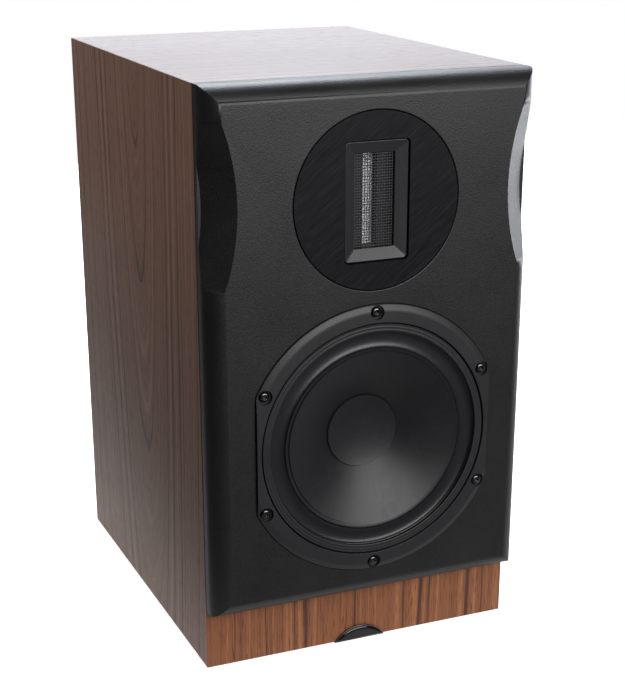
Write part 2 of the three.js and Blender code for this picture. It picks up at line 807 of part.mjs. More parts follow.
function wire(points) {
  const path = new THREE.CatmullRomCurve3(points.map((point) => new THREE.Vector3(...point)));
  const section = new THREE.Shape();
  section.absarc(0, 0, 1.8, 0, 2 * Math.PI);
  return new THREE.ExtrudeGeometry(section, { steps: 18, extrudePath: path, curveSegments: 4 });
}

function wooferWire() {
  return wire([
    [-4, BACK_Y - 38.4, 128],
    [-4, BACK_Y - 70, 128],
    [30, BACK_Y - 110, 112],
    [45, FRAME_Y + 95, 104],
    [42, FRAME_Y + 47, 110],
  ]);
}

function tweeterWire() {
  return wire([
    [6, BACK_Y - 38.4, 128],
    [6, BACK_Y - 60, 132],
    [2, BACK_Y - 95, 180],
    [0, BACK_Y - 145, 240],
    [0, BAFFLE_Y + 95, 302],
    [0, BAFFLE_Y + 71, TWEETER_Z],
  ]);
}

// ---- assembly ----

add("left_side_panel", sidePanel(-1), "walnut");
add("right_side_panel", sidePanel(1), "walnut");
add("top_panel", levelPanel(HEIGHT, INNER_TOP), "walnut");
add("bottom_panel", levelPanel(0, WALL), "walnut");
add("front_panel", frontPanel(), "walnut");
add("back_panel", backPanel(), "blackPaint");
add("window_brace", windowBrace(), "walnut");
add("acoustic_lining", lining(), "felt");
add("front_baffle", frontBaffle(), "blackPaint");
add("badge", badge(), "blackPlastic");

add("woofer_basket", basket(), "blackMetal", 0, WOOFER_Z);
add("woofer_trim_ring", trimRing(), "blackPlastic", 0, WOOFER_Z);
add("woofer_surround", surround(), "rubber", 0, WOOFER_Z);
add("woofer_cone", cone(), "cone", 0, WOOFER_Z);
add("woofer_dust_cap", dustCap(), "cone", 0, WOOFER_Z);
add("voice_coil_former", former(), "aluminium", 0, WOOFER_Z);
add("voice_coil", voiceCoil(), "copper", 0, WOOFER_Z);
add("woofer_spider", spider(), "cloth", 0, WOOFER_Z);
add("woofer_top_plate", topPlate(), "steel", 0, WOOFER_Z);
add("woofer_magnet", magnet(), "ferrite", 0, WOOFER_Z);
add("woofer_yoke", yoke(), "steel", 0, WOOFER_Z);
wooferScrewPlaces.forEach(([x, z], i) => {
  add(`woofer_screw_${i + 1}`, wooferScrew(), "blackMetal", x, WOOFER_Z + z);
});

add("tweeter_plate", tweeterPlate(), "blackMetal", 0, TWEETER_Z);
add("tweeter_mouth", tweeterMouth(), "blackPlastic", 0, TWEETER_Z);
add("tweeter_mesh", tweeterMesh(), "blackMetal", 0, TWEETER_Z);
add("ribbon_foil", ribbonFoil(), "aluminium", 0, TWEETER_Z);
add("ribbon_clamp_upper", ribbonClamp(1), "copper", 0, TWEETER_Z);
add("ribbon_clamp_lower", ribbonClamp(-1), "copper", 0, TWEETER_Z);
add("ribbon_magnet_left", ribbonMagnet(-1), "steel", 0, TWEETER_Z);
add("ribbon_magnet_right", ribbonMagnet(1), "steel", 0, TWEETER_Z);
add("ribbon_yoke", ribbonYoke(), "steel", 0, TWEETER_Z);
add("tweeter_housing", tweeterHousing(), "blackPlastic", 0, TWEETER_Z);
add("ribbon_transformer", ribbonTransformer(), "copper", 0, TWEETER_Z);
add("tweeter_ring_nut", ringNut(), "blackMetal", 0, TWEETER_Z);

add("crossover_board", crossoverBoard(), "boardGreen");
add("woofer_inductor", coil(9, 20, 18), "copper", -28, BOARD_Z + 16);
add("tweeter_inductor", coil(6, 12, 12), "copper", -36, BOARD_Z - 24);
add("woofer_capacitor", capacitor(9, 34), "redPlastic", 26, BOARD_Z + 22);
add("tweeter_capacitor", capacitor(7, 28), "redPlastic", 26, BOARD_Z + 4);
add("crossover_resistor", resistor(), "ceramic");

add("terminal_cup", terminalCup(), "blackPlastic", 0, TERMINAL_Z);
terminalScrewPlaces.forEach(([x, z], i) => {
  add(`terminal_screw_${i + 1}`, terminalScrew(), "blackMetal", x, z);
});
for (const [colour, side] of [["red", 1], ["black", -1]]) {
  add(`${colour}_post_stud`, postStud(), "brass", -side * POST_X, TERMINAL_Z);
  add(`${colour}_post_washer`, postWasher(), "brass", -side * POST_X, TERMINAL_Z);
  add(`${colour}_post_knob`, postKnob(), `${colour}Plastic`, -side * POST_X, TERMINAL_Z);
}
add("port_tube", portTube(), "blackPlastic", 0, PORT_Z);

add("woofer_wire", wooferWire(), "redPlastic");
add("tweeter_wire", tweeterWire(), "redPlastic");

export default speaker;
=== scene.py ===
"""Looks for a two-way bookshelf speaker: walnut cabinet, black baffle, ribbon tweeter and woofer.

Outlines and places are in millimetres in the CAD model's frame (+Z up, front towards -Y). A turned
piece's outline is [radius, depth] points: depth is measured back from the woofer frame's or the
baffle's face, or out from the cabinet's back.
"""

from math import acos, cos, pi, radians, sin

import bmesh
import bpy
import numpy as np
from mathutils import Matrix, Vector

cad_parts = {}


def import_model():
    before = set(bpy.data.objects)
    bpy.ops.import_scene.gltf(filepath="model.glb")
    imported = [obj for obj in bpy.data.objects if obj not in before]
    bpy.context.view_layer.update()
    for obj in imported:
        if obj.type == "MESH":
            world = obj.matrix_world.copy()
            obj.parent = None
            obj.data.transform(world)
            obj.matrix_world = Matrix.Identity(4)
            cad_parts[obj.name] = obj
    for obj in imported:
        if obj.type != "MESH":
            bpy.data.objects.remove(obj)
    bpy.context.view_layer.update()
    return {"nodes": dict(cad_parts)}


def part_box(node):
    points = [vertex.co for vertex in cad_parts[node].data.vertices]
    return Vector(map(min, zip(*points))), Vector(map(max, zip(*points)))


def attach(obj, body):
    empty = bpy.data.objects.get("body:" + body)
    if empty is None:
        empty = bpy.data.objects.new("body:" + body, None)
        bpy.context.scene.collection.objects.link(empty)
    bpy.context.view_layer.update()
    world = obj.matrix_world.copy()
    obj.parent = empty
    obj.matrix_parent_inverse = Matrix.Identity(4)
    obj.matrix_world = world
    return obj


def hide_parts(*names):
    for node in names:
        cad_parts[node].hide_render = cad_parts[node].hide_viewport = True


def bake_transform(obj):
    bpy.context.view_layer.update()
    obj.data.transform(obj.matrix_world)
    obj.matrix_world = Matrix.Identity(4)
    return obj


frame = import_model()

MM = 0.001
X, Y, Z = 0, 1, 2


def node_box(name):
    """Lowest and highest corner of a CAD node, in millimetres."""
    low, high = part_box(name)
    return low / MM, high / MM


# ---- dimensions, read from the frame where it has them ----

BAFFLE_LOW, BAFFLE_HIGH = node_box("front_baffle")
BASKET_LOW, BASKET_HIGH = node_box("woofer_basket")
_, SIDE_HIGH = node_box("right_side_panel")
PLATE_LOW, PLATE_HIGH = node_box("tweeter_plate")
CUP_LOW, CUP_HIGH = node_box("terminal_cup")
PORT_LOW, PORT_HIGH = node_box("port_tube")

GAP = 0.3  # between pieces that meet face to face
FIT = 0.4  # round a piece in its seat or hole
OVER = 5  # how far a cutter reaches past what it cuts
TALL = 99  # more than the woofer's radius
MITRE = 0.15  # how far below the top a side panel stops
HALF_WIDTH = SIDE_HIGH.x
HEIGHT = SIDE_HIGH.z + MITRE
FRAME_Y = BASKET_LOW.y
BAFFLE_Y = BAFFLE_LOW.y
CABINET_Y = BAFFLE_HIGH.y + GAP
BACK_Y = SIDE_HIGH.y
BAFFLE_BOTTOM = BAFFLE_LOW.z
WALL = 15
THICK_WALL = 18  # the front panel

WOOFER_Z = (BASKET_LOW.z + BASKET_HIGH.z) / 2
TWEETER_Z = (PLATE_LOW.z + PLATE_HIGH.z) / 2
TERMINAL_Z = (CUP_LOW.z + CUP_HIGH.z) / 2
PORT_Z = (PORT_LOW.z + PORT_HIGH.z) / 2
POST_X = 19
AT_WOOFER = (0, WOOFER_Z)
AT_TWEETER = (0, TWEETER_Z)

EDGE_RADIUS = 14
CREASE = radians(11)  # how steeply the rounded edge meets the flat face
REVEAL = 1.2  # the rebate round the baffle's back
SCALLOP_RADIUS = 145
SCALLOP_Z = 309
SCALLOP_CUT = 19.5
SCALLOP_DEPTH = 15
SCALLOP_SLANT = 17.5 / 15  # outwards for each millimetre of depth
BADGE_WIDTH = 37
BADGE_HEIGHT = 10

FRAME_RADIUS = 90
FRAME_FLAT = 81
FRAME_THICKNESS = 7
WOOFER_HOLE = 77.5
SCREW_HOLE = 2.4
SCREW_CIRCLE = 84.9
SCREW_ANGLES = (90, 27.4, -27.4, -90, 207.4, 152.6)
CONE_RADIUS = 58.4
NECK_RADIUS = 16.9
CAP_RADIUS = 24.3
SKIN = 0.8  # thickness of cone, cap and surround
ROLL_RADIUS = 66.6
ROLL_HALF_WIDTH = 5.8
ROLL_DEPTH = 2.2
LIP_DEPTH = 3.9
SPIDER_DEPTH = 36.9

PLATE_RADIUS = 55
PLATE_THICKNESS = 4
SPIGOT_RADIUS = 46
MOUTH = (42, 73.5)
WINDOW = (26.8, 58.3)
BEVEL_DEPTH = 4.5
RIBBON_DEPTH = 17.3
RIBBON_HALF = 28.5  # half the folded length

NOISE_LOW, NOISE_HIGH = 0.3, 0.7  # the usual range of a noise texture

FINE = 192  # facets round the large turned pieces
ROUND = 96
SMALL = 48


# ---- meshes ----


def linked(name, data):
    obj = bpy.data.objects.new(name, data)
    bpy.context.scene.collection.objects.link(obj)
    return obj


def moved(data, x=0, z=0):
    points, faces = data
    return [(px + x, py, pz + z) for px, py, pz in points], faces


def plain_object(name, data):
    """An object from (points, faces) in millimetres."""
    points, faces = data
    mesh = bpy.data.meshes.new(name)
    mesh.from_pydata([[c * MM for c in p] for p in points], [], faces)
    work = bmesh.new()
    work.from_mesh(mesh)
    bmesh.ops.recalc_face_normals(work, faces=work.faces)
    work.to_mesh(mesh)
    work.free()
    return linked(name, mesh)


def piece(name, data, material, node, body="cabinet", sharp=35, place=(0, 0)):
    """A plain object, moved by place along x and z, that stands for a CAD node. One with body None
    doesn't ride."""
    obj = plain_object(name, moved(data, *place))
    obj.data.materials.append(material)
    shade(obj, sharp)
    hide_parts(node)
    if body:
        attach(obj, body)
    return obj


def shade(obj, sharp):
    mesh = obj.data
    mesh.polygons.foreach_set("use_smooth", [True] * len(mesh.polygons))
    mesh.set_sharp_from_angle(angle=radians(sharp))


def loft(sections, closed=False):
    """Joins equal loops of points into a skin. closed joins the last to the first, otherwise
    both ends are capped."""
    count = len(sections[0])
    points = [p for section in sections for p in section]
    faces = []
    for s in range(len(sections) if closed else len(sections) - 1):
        a = s * count
        b = ((s + 1) % len(sections)) * count
        for i in range(count):
            j = (i + 1) % count
            faces.append((a + i, a + j, b + j, b + i))
    if not closed:
        faces.append(tuple(range(count))[::-1])
        faces.append(tuple(range(len(points) - count, len(points))))
    return points, faces


def lathe(profile, segments, face=0):
    """Turns [radius, depth] points about the Y axis: a closed outline, or a line that starts and
    ends on the axis. Depth 0 is at y = face."""
    points, faces, rows = [], [], []
    for radius, depth in profile:
        start = len(points)
        y = face + depth
        if radius < 1e-6:
            points.append((0, y, 0))
            rows.append([start] * segments)
        else:
            turns = (2 * pi * i / segments for i in range(segments))
            points += [(radius * cos(t), y, radius * sin(t)) for t in turns]
            rows.append(list(range(start, start + segments)))
    on_axis = profile[0][0] < 1e-6
    pairs = list(zip(rows, rows[1:])) + ([] if on_axis else [(rows[-1], rows[0])])
    for a, b in pairs:
        for i in range(segments):
            j = (i + 1) % segments
            corners = dict.fromkeys((a[i], a[j], b[j], b[i]))
            if len(corners) > 2:
                faces.append(tuple(corners))
    return points, faces


def softened(profile, radius, steps=3, closed=True):
    """Rounds the corners of an outline. radius is one number, or one for each corner."""
    count = len(profile)
    radii = [radius] * count if isinstance(radius, (int, float)) else list(radius)
    out = []
    for i, corner in enumerate(profile):
        if radii[i] <= 0 or (not closed and i in (0, count - 1)):
            out.append(tuple(corner))
            continue
        here = Vector(corner)
        ends = []
        for other in (profile[i - 1], profile[(i + 1) % count]):
            along = Vector(other) - here
            ends.append(here + along.normalized() * min(radii[i], along.length * 0.45))
        for k in range(steps + 1):
            t = k / steps
            out.append(tuple(ends[0] * (1 - t) ** 2 + here * 2 * t * (1 - t) + ends[1] * t * t))
    return out


def skin(line, thickness):
    """The outline of a thin wall along a line of [radius, depth] points."""
    sides = []
    for offset in (-thickness / 2, thickness / 2):
        side = []
        for i, (radius, depth) in enumerate(line):
            before, after = line[max(i - 1, 0)], line[min(i + 1, len(line) - 1)]
            along = Vector((after[0] - before[0], after[1] - before[1])).normalized()
            shifted = 0 if radius == 0 else radius - along.y * offset
            side.append((shifted, depth + along.x * offset))
        sides.append(side)
    return sides[0] + sides[1][::-1]


def rectangle_loop(width, height, radius, y):
    """A rounded rectangle in x and z at depth y."""
    loop = []
    for quarter in range(4):
        sign_x = 1 if quarter in (0, 3) else -1
        sign_z = 1 if quarter < 2 else -1
        for turn in arc(pi / 2 * quarter, pi / 2 * (quarter + 1), 6):
            x = sign_x * (width / 2 - radius) + radius * cos(turn)
            z = sign_z * (height / 2 - radius) + radius * sin(turn)
            loop.append((x, y, z))
    return loop


def arc(start, end, steps):
    """Angles from start to end, both included."""
    return [start + (end - start) * i / steps for i in range(steps + 1)]


def cylinder(radius, front, back, x=0, z=0, segments=SMALL):
    outline = [(0, front), (radius, front), (radius, back), (0, back)]
    return moved(lathe(outline, segments), x, z)


def block(x0, x1, y0, y1, z0, z1):
    corners = ((x0, z0), (x1, z0), (x1, z1), (x0, z1))
    return loft([[(x, y, z) for x, z in corners] for y in (y0, y1)])


def carve(obj, tools, operation="DIFFERENCE", sharp=35):
    """Cuts each (points, faces) tool from obj, or keeps what they share, and bakes the result."""
    cutters = []
    for tool in tools:
        cutter = plain_object("cutter", tool)
        modifier = obj.modifiers.new("carve", "BOOLEAN")
        modifier.object = cutter
        modifier.operation = operation
        modifier.solver = "EXACT"
        cutters.append(cutter)
    bake(obj)
    for cutter in cutters:
        bpy.data.objects.remove(cutter)
    shade(obj, sharp)


def bake(obj):
    bpy.context.view_layer.update()
    graph = bpy.context.evaluated_depsgraph_get()
    mesh = bpy.data.meshes.new_from_object(obj.evaluated_get(graph), depsgraph=graph)
    obj.modifiers.clear()
    obj.data = mesh


def ease(obj, width, angle):
    """Rounds by width millimetres the edges sharper than angle degrees."""
    bevel = obj.modifiers.new("ease", "BEVEL")
    bevel.width = width * MM
    bevel.segments = 2
    bevel.limit_method = "ANGLE"
    bevel.angle_limit = radians(angle)
    weighted = obj.modifiers.new("normals", "WEIGHTED_NORMAL")
    weighted.keep_sharp = True
    weighted.weight = 100


# ---- materials ----


class Look:
    """A material whose node tree ends in a Principled shader."""

    def __init__(self, name, **constants):
        self.material = bpy.data.materials.new(name)
        self.material.use_nodes = True
        self.tree = self.material.node_tree
        self.shader = self.tree.nodes["Principled BSDF"]
        for key, value in constants.items():
            self.shader.inputs[key.replace("_", " ")].default_value = value
        self.place = self.add("TexCoord").outputs["Object"]

    def add(self, kind, inputs=None, **settings):
        node = self.tree.nodes.new("ShaderNode" + kind)
        for key, value in settings.items():
            setattr(node, key, value)
        for key, value in (inputs or {}).items():
            self.put(node.inputs[key], value)
        return node

    def put(self, socket, value):
        if isinstance(value, bpy.types.NodeSocket):
            self.tree.links.new(value, socket)
        else:
            socket.default_value = value

    def feed(self, **sockets):
        for key, value in sockets.items():
            self.put(self.shader.inputs[key.replace("_", " ")], value)
        return self.material

    def stretched(self, scale, turn=0, vector=None):
        """The place turned by degrees about Y, then scaled along each axis."""
        turned = {"Vector": vector or self.place, "Rotation": (0, radians(turn), 0)}
        first = self.add("Mapping", turned).outputs[0]
        return self.add("Mapping", {"Vector": first, "Scale": scale}).outputs[0]

    def noise(self, scale, vector=None, detail=2.0, rough=0.5, distortion=0.0):
        inputs = {"Vector": vector or self.place, "Scale": scale, "Detail": detail}
        inputs.update({"Roughness": rough, "Distortion": distortion})
        return self.add("TexNoise", inputs).outputs[0]

    def math(self, operation, a, b=0.0):
        return self.add("Math", {0: a, 1: b}, operation=operation).outputs[0]

    def times(self, a, b):
        return self.math("MULTIPLY", a, b)

    def plus(self, a, b):
        return self.math("ADD", a, b)

    def weighted(self, *terms):
        """The sum of value times share over (value, share) terms."""
        total, *rest = [self.times(value, share) for value, share in terms]
        for part in rest:
            total = self.plus(total, part)
        return total

    def length(self, a, b):
        """How far the point (a, b) is from the origin."""
        return self.math("SQRT", self.plus(self.times(a, a), self.times(b, b)))

    def waves(self, value, pitch):
        """A sine wave along value, which is in metres, with its pitch in millimetres."""
        return self.math("SINE", self.times(value, 2 * pi / (pitch * MM)))

    def between(self, value, low, high, to_low=0.0, to_high=1.0):
        names = ("Value", "From Min", "From Max", "To Min", "To Max")
        inputs = dict(zip(names, (value, low, high, to_low, to_high)))
        return self.add("MapRange", inputs).outputs[0]

    def from_noise(self, value, low, high):
        return self.between(value, NOISE_LOW, NOISE_HIGH, low, high)

    def tone(self, value, base, low, high):
        """The base colour times low to high, as noise crosses its range."""
        return self.ramp(value, [(NOISE_LOW, scaled(base, low)), (NOISE_HIGH, scaled(base, high))])

    def blend(self, share, a, b, mode="MIX"):
        node = self.add("Mix", data_type="RGBA", blend_type=mode)
        sockets = (node.inputs[0], node.inputs[6], node.inputs[7])
        for socket, value in zip(sockets, (share, a, b)):
            self.put(socket, value)
        return node.outputs[2]

    def ramp(self, value, stops):
        node = self.add("ValToRGB", {"Fac": value})
        elements = node.color_ramp.elements
        while len(elements) < len(stops):
            elements.new(0.5)
        for element, (position, colour) in zip(elements, stops):
            element.position = position
            element.color = colour
        return node.outputs[0]

    def finish(self, tone, gloss, height, depth):
        """Colour, roughness, and relief where a height of 1 stands for depth millimetres."""
        inputs = {"Height": height, "Distance": depth * MM, "Strength": 1.0}
        normal = self.add("Bump", inputs).outputs[0]
        return self.feed(Base_Color=tone, Roughness=gloss, Normal=normal)

    def axes(self):
        return self.add("SeparateXYZ", {0: self.place}).outputs


def rgb(red, green, blue):
    return (red, green, blue, 1.0)


def scaled(base, factor):
    return rgb(*(min(1.0, c * factor) for c in base[:3]))


def coated(name, base, roughness, grain, depth, spread=0.25):
    """A moulded, painted or cast surface: fine grain of that size, slow patches, uneven gloss."""
    look = Look(name)
    fine = look.noise(1 / (grain * MM), detail=3)
    slow = look.noise(25, detail=3, rough=0.6)
    mixed = look.weighted((fine, 0.6), (slow, 0.4))
    tone = look.tone(mixed, base, 1 - spread, 1 + spread)
    gloss = look.from_noise(mixed, roughness * 0.85, roughness * 1.15)
    return look.finish(tone, gloss, fine, depth)


def metal(name, base, roughness, stretch=(1, 1, 1), depth=0.004):
    """Bare or plated metal, its brush marks drawn out along the axis that has the small stretch."""
    look = Look(name, Metallic=1.0)
    marks = look.noise(900, look.stretched(stretch), detail=4, rough=0.65)
    slow = look.noise(60, detail=3)
    mixed = look.weighted((marks, 0.5), (slow, 0.5))
    tone = look.tone(mixed, base, 0.88, 1.12)
    gloss = look.from_noise(mixed, roughness * 0.7, roughness * 1.4)
    return look.finish(tone, gloss, marks, depth)


def growth_rings(look, along, across, heart, growth, wander):
    """Noise that runs in rings round a leaning line, which wander moves from side to side."""
    depth, lean, rings = growth
    axes = look.axes()
    sway = look.times(look.math("SUBTRACT", wander, 0.5), 0.022)
    offset = look.plus(look.math("SUBTRACT", axes[across], heart), sway)
    rise = look.plus(look.times(axes[along], lean), depth)
    turns = look.times(look.length(offset, rise), rings)
    inputs = {"W": turns, "Scale": 1.0, "Detail": 4.0, "Roughness": 0.7}
    return look.add("TexNoise", inputs, noise_dimensions="1D").outputs[0]


def walnut(name, along, across, tones, heart, growth, roughness, seed, streaks):
    """Walnut veneer. Growth rings lie round a line that leans away from the face, so that they meet
    it in nested arches about heart (metres across the grain) or, far from it, in straight lines.
    growth is that line's depth at the origin, its lean along the grain, and the rings in a metre.
    """
    look = Look(name)
    offset = (seed, seed * 2, seed * 3)
    shift = look.add("VectorMath", {0: look.place, 1: offset}).outputs[0]

    def drawn(over, long):
        scale = [over] * 3
        scale[along] = long
        return look.stretched(scale, vector=shift)

    wander = look.noise(1.0, drawn(14, 2.4), detail=3)
    ring = growth_rings(look, along, across, heart, growth, wander)
    fine = look.noise(1.0, drawn(900, 9), detail=3, rough=0.7)
    pits = look.between(look.noise(1.0, drawn(2100, 90), detail=1), 0.58, 0.70)
    slow = look.noise(9, shift, detail=2)
    dark, middle, bright = tones
    figure = look.weighted((ring, 0.64), (fine, 0.26), (slow, 0.10))
    tone = look.ramp(figure, [(0.39, dark), (0.45, middle), (0.53, middle), (0.60, bright)])
    cooler = look.between(slow, 0.35, 0.65, 0.0, 0.55)
    tone = look.blend(cooler, tone, rgb(0.86, 0.89, 0.91), "MULTIPLY")
    streak = look.between(fine, 0.42, 0.7, 0.0, streaks)
    tone = look.blend(streak, tone, scaled(middle, 0.55))
    tone = look.blend(look.times(pits, 0.55), tone, scaled(dark, 0.5))
    relief = look.weighted((fine, 0.5), (pits, -0.8))
    gloss = look.between(look.plus(fine, pits), 0.3, 1.4, roughness, roughness + 0.22)
    return look.finish(tone, gloss, relief, 0.03)


def brushed_black(name, base, roughness):
    """Black finish with fine parallel hairlines that run up to the right across the face."""
    look = Look(name, Specular_IOR_Level=0.11)
    lines = look.noise(1.0, look.stretched((60, 1400, 1400), 38), detail=3, rough=0.7)
    slow = look.noise(45, detail=2)
    tone = look.ramp(lines, [(0.3, scaled(base, 0.55)), (0.52, base), (0.75, scaled(base, 1.9))])
    both = look.plus(lines, slow)
    gloss = look.between(both, 0.7, 1.3, roughness * 0.8, roughness * 1.25)
    return look.finish(tone, gloss, lines, 0.012)


def paper_cone(name, base, roughness):
    """Pressed cone: fine fibre flecks and faint rings about the woofer's axis."""
    look = Look(name)
    x, _, z = look.axes()
    rings = look.waves(look.length(x, look.math("SUBTRACT", z, WOOFER_Z * MM)), 1.1)
    fibres = look.noise(420, look.stretched((1, 0.4, 1)), detail=4, rough=0.7, distortion=0.6)
    slow = look.noise(35, detail=2)
    mixed = look.weighted((fibres, 0.7), (slow, 0.3))
    tone = look.tone(mixed, base, 0.8, 1.25)
    gloss = look.from_noise(mixed, roughness * 0.9, roughness * 1.15)
    height = look.plus(look.times(rings, 0.12), fibres)
    return look.finish(tone, gloss, height, 0.012)


def winding(name, base, pitch):
    """Round wire laid side by side along Y."""
    look = Look(name, Metallic=1.0)
    turns = look.waves(look.axes()[Y], pitch)
    stops = [(0.0, scaled(base, 0.3)), (0.5, base), (1.0, scaled(base, 1.2))]
    tone = look.ramp(look.between(turns, -1.0, 1.0), stops)
    gloss = look.from_noise(look.noise(300, detail=2), 0.3, 0.45)
    return look.finish(tone, gloss, turns, 0.12)


def fibrous(name, base, scale=260, depth=0.35):
    """Felt or fibreboard: tangled fibres with soft patches."""
    look = Look(name, Sheen_Weight=0.3, Sheen_Roughness=0.6)
    fibres = look.noise(scale, detail=6, rough=0.75, distortion=1.5)
    slow = look.noise(25, detail=2)
    tone = look.ramp(fibres, [(0.3, scaled(base, 0.6)), (0.55, base), (0.75, scaled(base, 1.35))])
    tone = look.blend(look.from_noise(slow, 0.0, 0.3), tone, scaled(base, 0.8))
    gloss = look.from_noise(fibres, 0.85, 1.0)
    return look.finish(tone, gloss, fibres, depth)


def woven(name, base, pitch):
    """Square weave in x and z."""
    look = Look(name, Sheen_Weight=0.2)
    x, _, z = look.axes()
    weave = look.times(look.waves(x, pitch), look.waves(z, pitch))
    stops = [(0.0, scaled(base, 0.55)), (1.0, scaled(base, 1.2))]
    tone = look.ramp(look.between(weave, -1.0, 1.0), stops)
    gloss = look.from_noise(look.noise(300), 0.75, 0.95)
    return look.finish(tone, gloss, weave, 0.08)


def circuit_board(name, base):
    """Solder-masked board with a maze of tracks under the mask."""
    look = Look(name)
    inputs = {"Vector": look.place, "Scale": 190.0}
    cells = look.add("TexVoronoi", inputs, distance="MANHATTAN")
    tracks = look.between(cells.outputs[0], 0.34, 0.36)
    tone = look.blend(tracks, base, scaled(base, 1.7))
    gloss = look.from_noise(look.noise(220), 0.28, 0.42)
    return look.finish(tone, gloss, tracks, 0.03)


# Grain tones: dark, middle and bright.
SIDE_TONES = (rgb(0.09, 0.046, 0.031), rgb(0.27, 0.143, 0.094), rgb(0.4, 0.215, 0.145))
PLINTH_TONES = (rgb(0.06, 0.019, 0.008), rgb(0.27, 0.089, 0.031), rgb(0.43, 0.165, 0.06))
TOP_TONES = (rgb(0.1, 0.058, 0.042), rgb(0.2, 0.125, 0.09), rgb(0.27, 0.18, 0.135))

side_veneer = walnut("side_veneer", Z, Y, SIDE_TONES, -0.01, (0.058, -0.12, 190), 0.42, 1.3, 0.6)
plinth_veneer = walnut(
    "plinth_veneer", Z, X, PLINTH_TONES, -0.9, (0.012, 0.02, 170), 0.5, 4.1, 0.45
)
top_veneer = walnut("top_veneer", X, Y, TOP_TONES, -0.03, (0.012, 0.05, 170), 0.30, 7.7, 0.4)
baffle_paint = coated(
    "baffle_paint", rgb(0.01, 0.01, 0.0104), 0.43, grain=0.9, depth=0.13, spread=0.5
)
back_paint = coated("back_paint", rgb(0.014, 0.014, 0.014), 0.6, grain=0.8, depth=0.05, spread=0.3)
mdf = fibrous("mdf", rgb(0.3, 0.2, 0.12), 900, 0.05)
felt = fibrous("felt", rgb(0.2, 0.2, 0.21))
badge_gloss = coated(
    "badge_gloss", rgb(0.006, 0.006, 0.007), 0.09, grain=6, depth=0.004, spread=0.3
)
badge_rim = metal("badge_rim", rgb(0.16, 0.15, 0.15), 0.3)
frame_black = coated(
    "frame_black", rgb(0.018, 0.018, 0.02), 0.45, grain=0.45, depth=0.02, spread=0.3
)
trim_black = coated("trim_black", rgb(0.014, 0.014, 0.016), 0.5, grain=0.8, depth=0.01)
rubber = coated("rubber", rgb(0.01, 0.01, 0.012), 0.36, grain=0.5, depth=0.008, spread=0.3)
cone_paper = paper_cone("cone", rgb(0.0095, 0.0095, 0.0112), 0.42)
cap_paper = paper_cone("dust_cap", rgb(0.011, 0.011, 0.0128), 0.40)
foil = metal("foil", rgb(0.82, 0.82, 0.84), 0.5, (1, 1, 1), 0.01)
copper = winding("copper", rgb(0.72, 0.33, 0.16), 1.1)
coil_copper = winding("coil_copper", rgb(0.72, 0.33, 0.16), 0.35)
spider_cloth = woven("spider_cloth", rgb(0.5, 0.34, 0.13), 0.9)
steel = metal("steel", rgb(0.55, 0.55, 0.56), 0.32, (1, 0.1, 1))
ferrite = coated("ferrite", rgb(0.045, 0.045, 0.05), 0.72, grain=0.7, depth=0.05, spread=0.35)
plate_black = brushed_black("plate_black", rgb(0.01, 0.0098, 0.0114), 0.45)
mouth_black = coated("mouth_black", rgb(0.019, 0.019, 0.021), 0.42, grain=0.6, depth=0.015)
mesh_black = coated("mesh_black", rgb(0.02, 0.02, 0.022), 0.55, grain=1.5, depth=0.004)
magnet_steel = metal("magnet_steel", rgb(0.05, 0.05, 0.055), 0.5, (1, 1, 0.1))
dark_steel = metal("dark_steel", rgb(0.06, 0.06, 0.065), 0.5)
moulded_black = coated(
    "moulded_black", rgb(0.016, 0.016, 0.017), 0.42, grain=0.7, depth=0.03, spread=0.3
)
board_green = circuit_board("board_green", rgb(0.02, 0.12, 0.05))
sleeve_red = coated("capacitor_sleeve", rgb(0.3, 0.03, 0.025), 0.25, grain=3, depth=0.02)
ceramic = coated("ceramic", rgb(0.66, 0.63, 0.56), 0.75, grain=0.5, depth=0.06, spread=0.12)
brass = metal("brass", rgb(0.8, 0.6, 0.26), 0.22, (1, 0.1, 1))
dull_brass = metal("dull_brass", rgb(0.09, 0.075, 0.05), 0.5)
knob_red = coated("knob_red", rgb(0.42, 0.015, 0.015), 0.22, grain=2, depth=0.01, spread=0.15)
knob_black = coated("knob_black", rgb(0.014, 0.014, 0.014), 0.24, grain=2, depth=0.01)
screw_black = metal("screw_black", rgb(0.1, 0.1, 0.108), 0.2)
wire_sleeve = coated("wire_sleeve", rgb(0.25, 0.02, 0.02), 0.45, grain=2, depth=0.03)


# ---- cabinet ----


def rounded_block(low, high, radius):
    """A bmesh block in millimetres with rounded edges."""
    work = bmesh.new()
    bmesh.ops.create_cube(work, size=1)
    size = high - low
    for vert in work.verts:
        vert.co = Vector([low[i] + (vert.co[i] + 0.5) * size[i] for i in range(3)])
    bmesh.ops.bevel(
        work, geom=work.edges[:], offset=radius, segments=4, profile=0.5, affect="EDGES"
    )
    return work


def mitred(planes):
    """The part of the whole cabinet block on the near side of each (point, outward normal)."""
    low = Vector((-HALF_WIDTH, CABINET_Y, 0))
    work = rounded_block(low, Vector((HALF_WIDTH, BACK_Y, HEIGHT)), 0.6)
    for point, normal in planes:
        geometry = work.verts[:] + work.edges[:] + work.faces[:]
        cut = bmesh.ops.bisect_plane(
            work, geom=geometry, dist=1e-5, plane_co=point, plane_no=normal, clear_outer=True
        )
        edges = [e for e in cut["geom_cut"] if isinstance(e, bmesh.types.BMEdge)]
        bmesh.ops.holes_fill(work, edges=edges)
    points = [tuple(v.co) for v in work.verts]
    work.verts.index_update()
    faces = [tuple(v.index for v in f.verts) for f in work.faces]
    work.free()
    return points, faces


def corner(x, z):
    """A front corner of the cabinet block, with x and z as -1 or 1."""
    return (x * HALF_WIDTH, CABINET_Y, HEIGHT if z > 0 else 0)


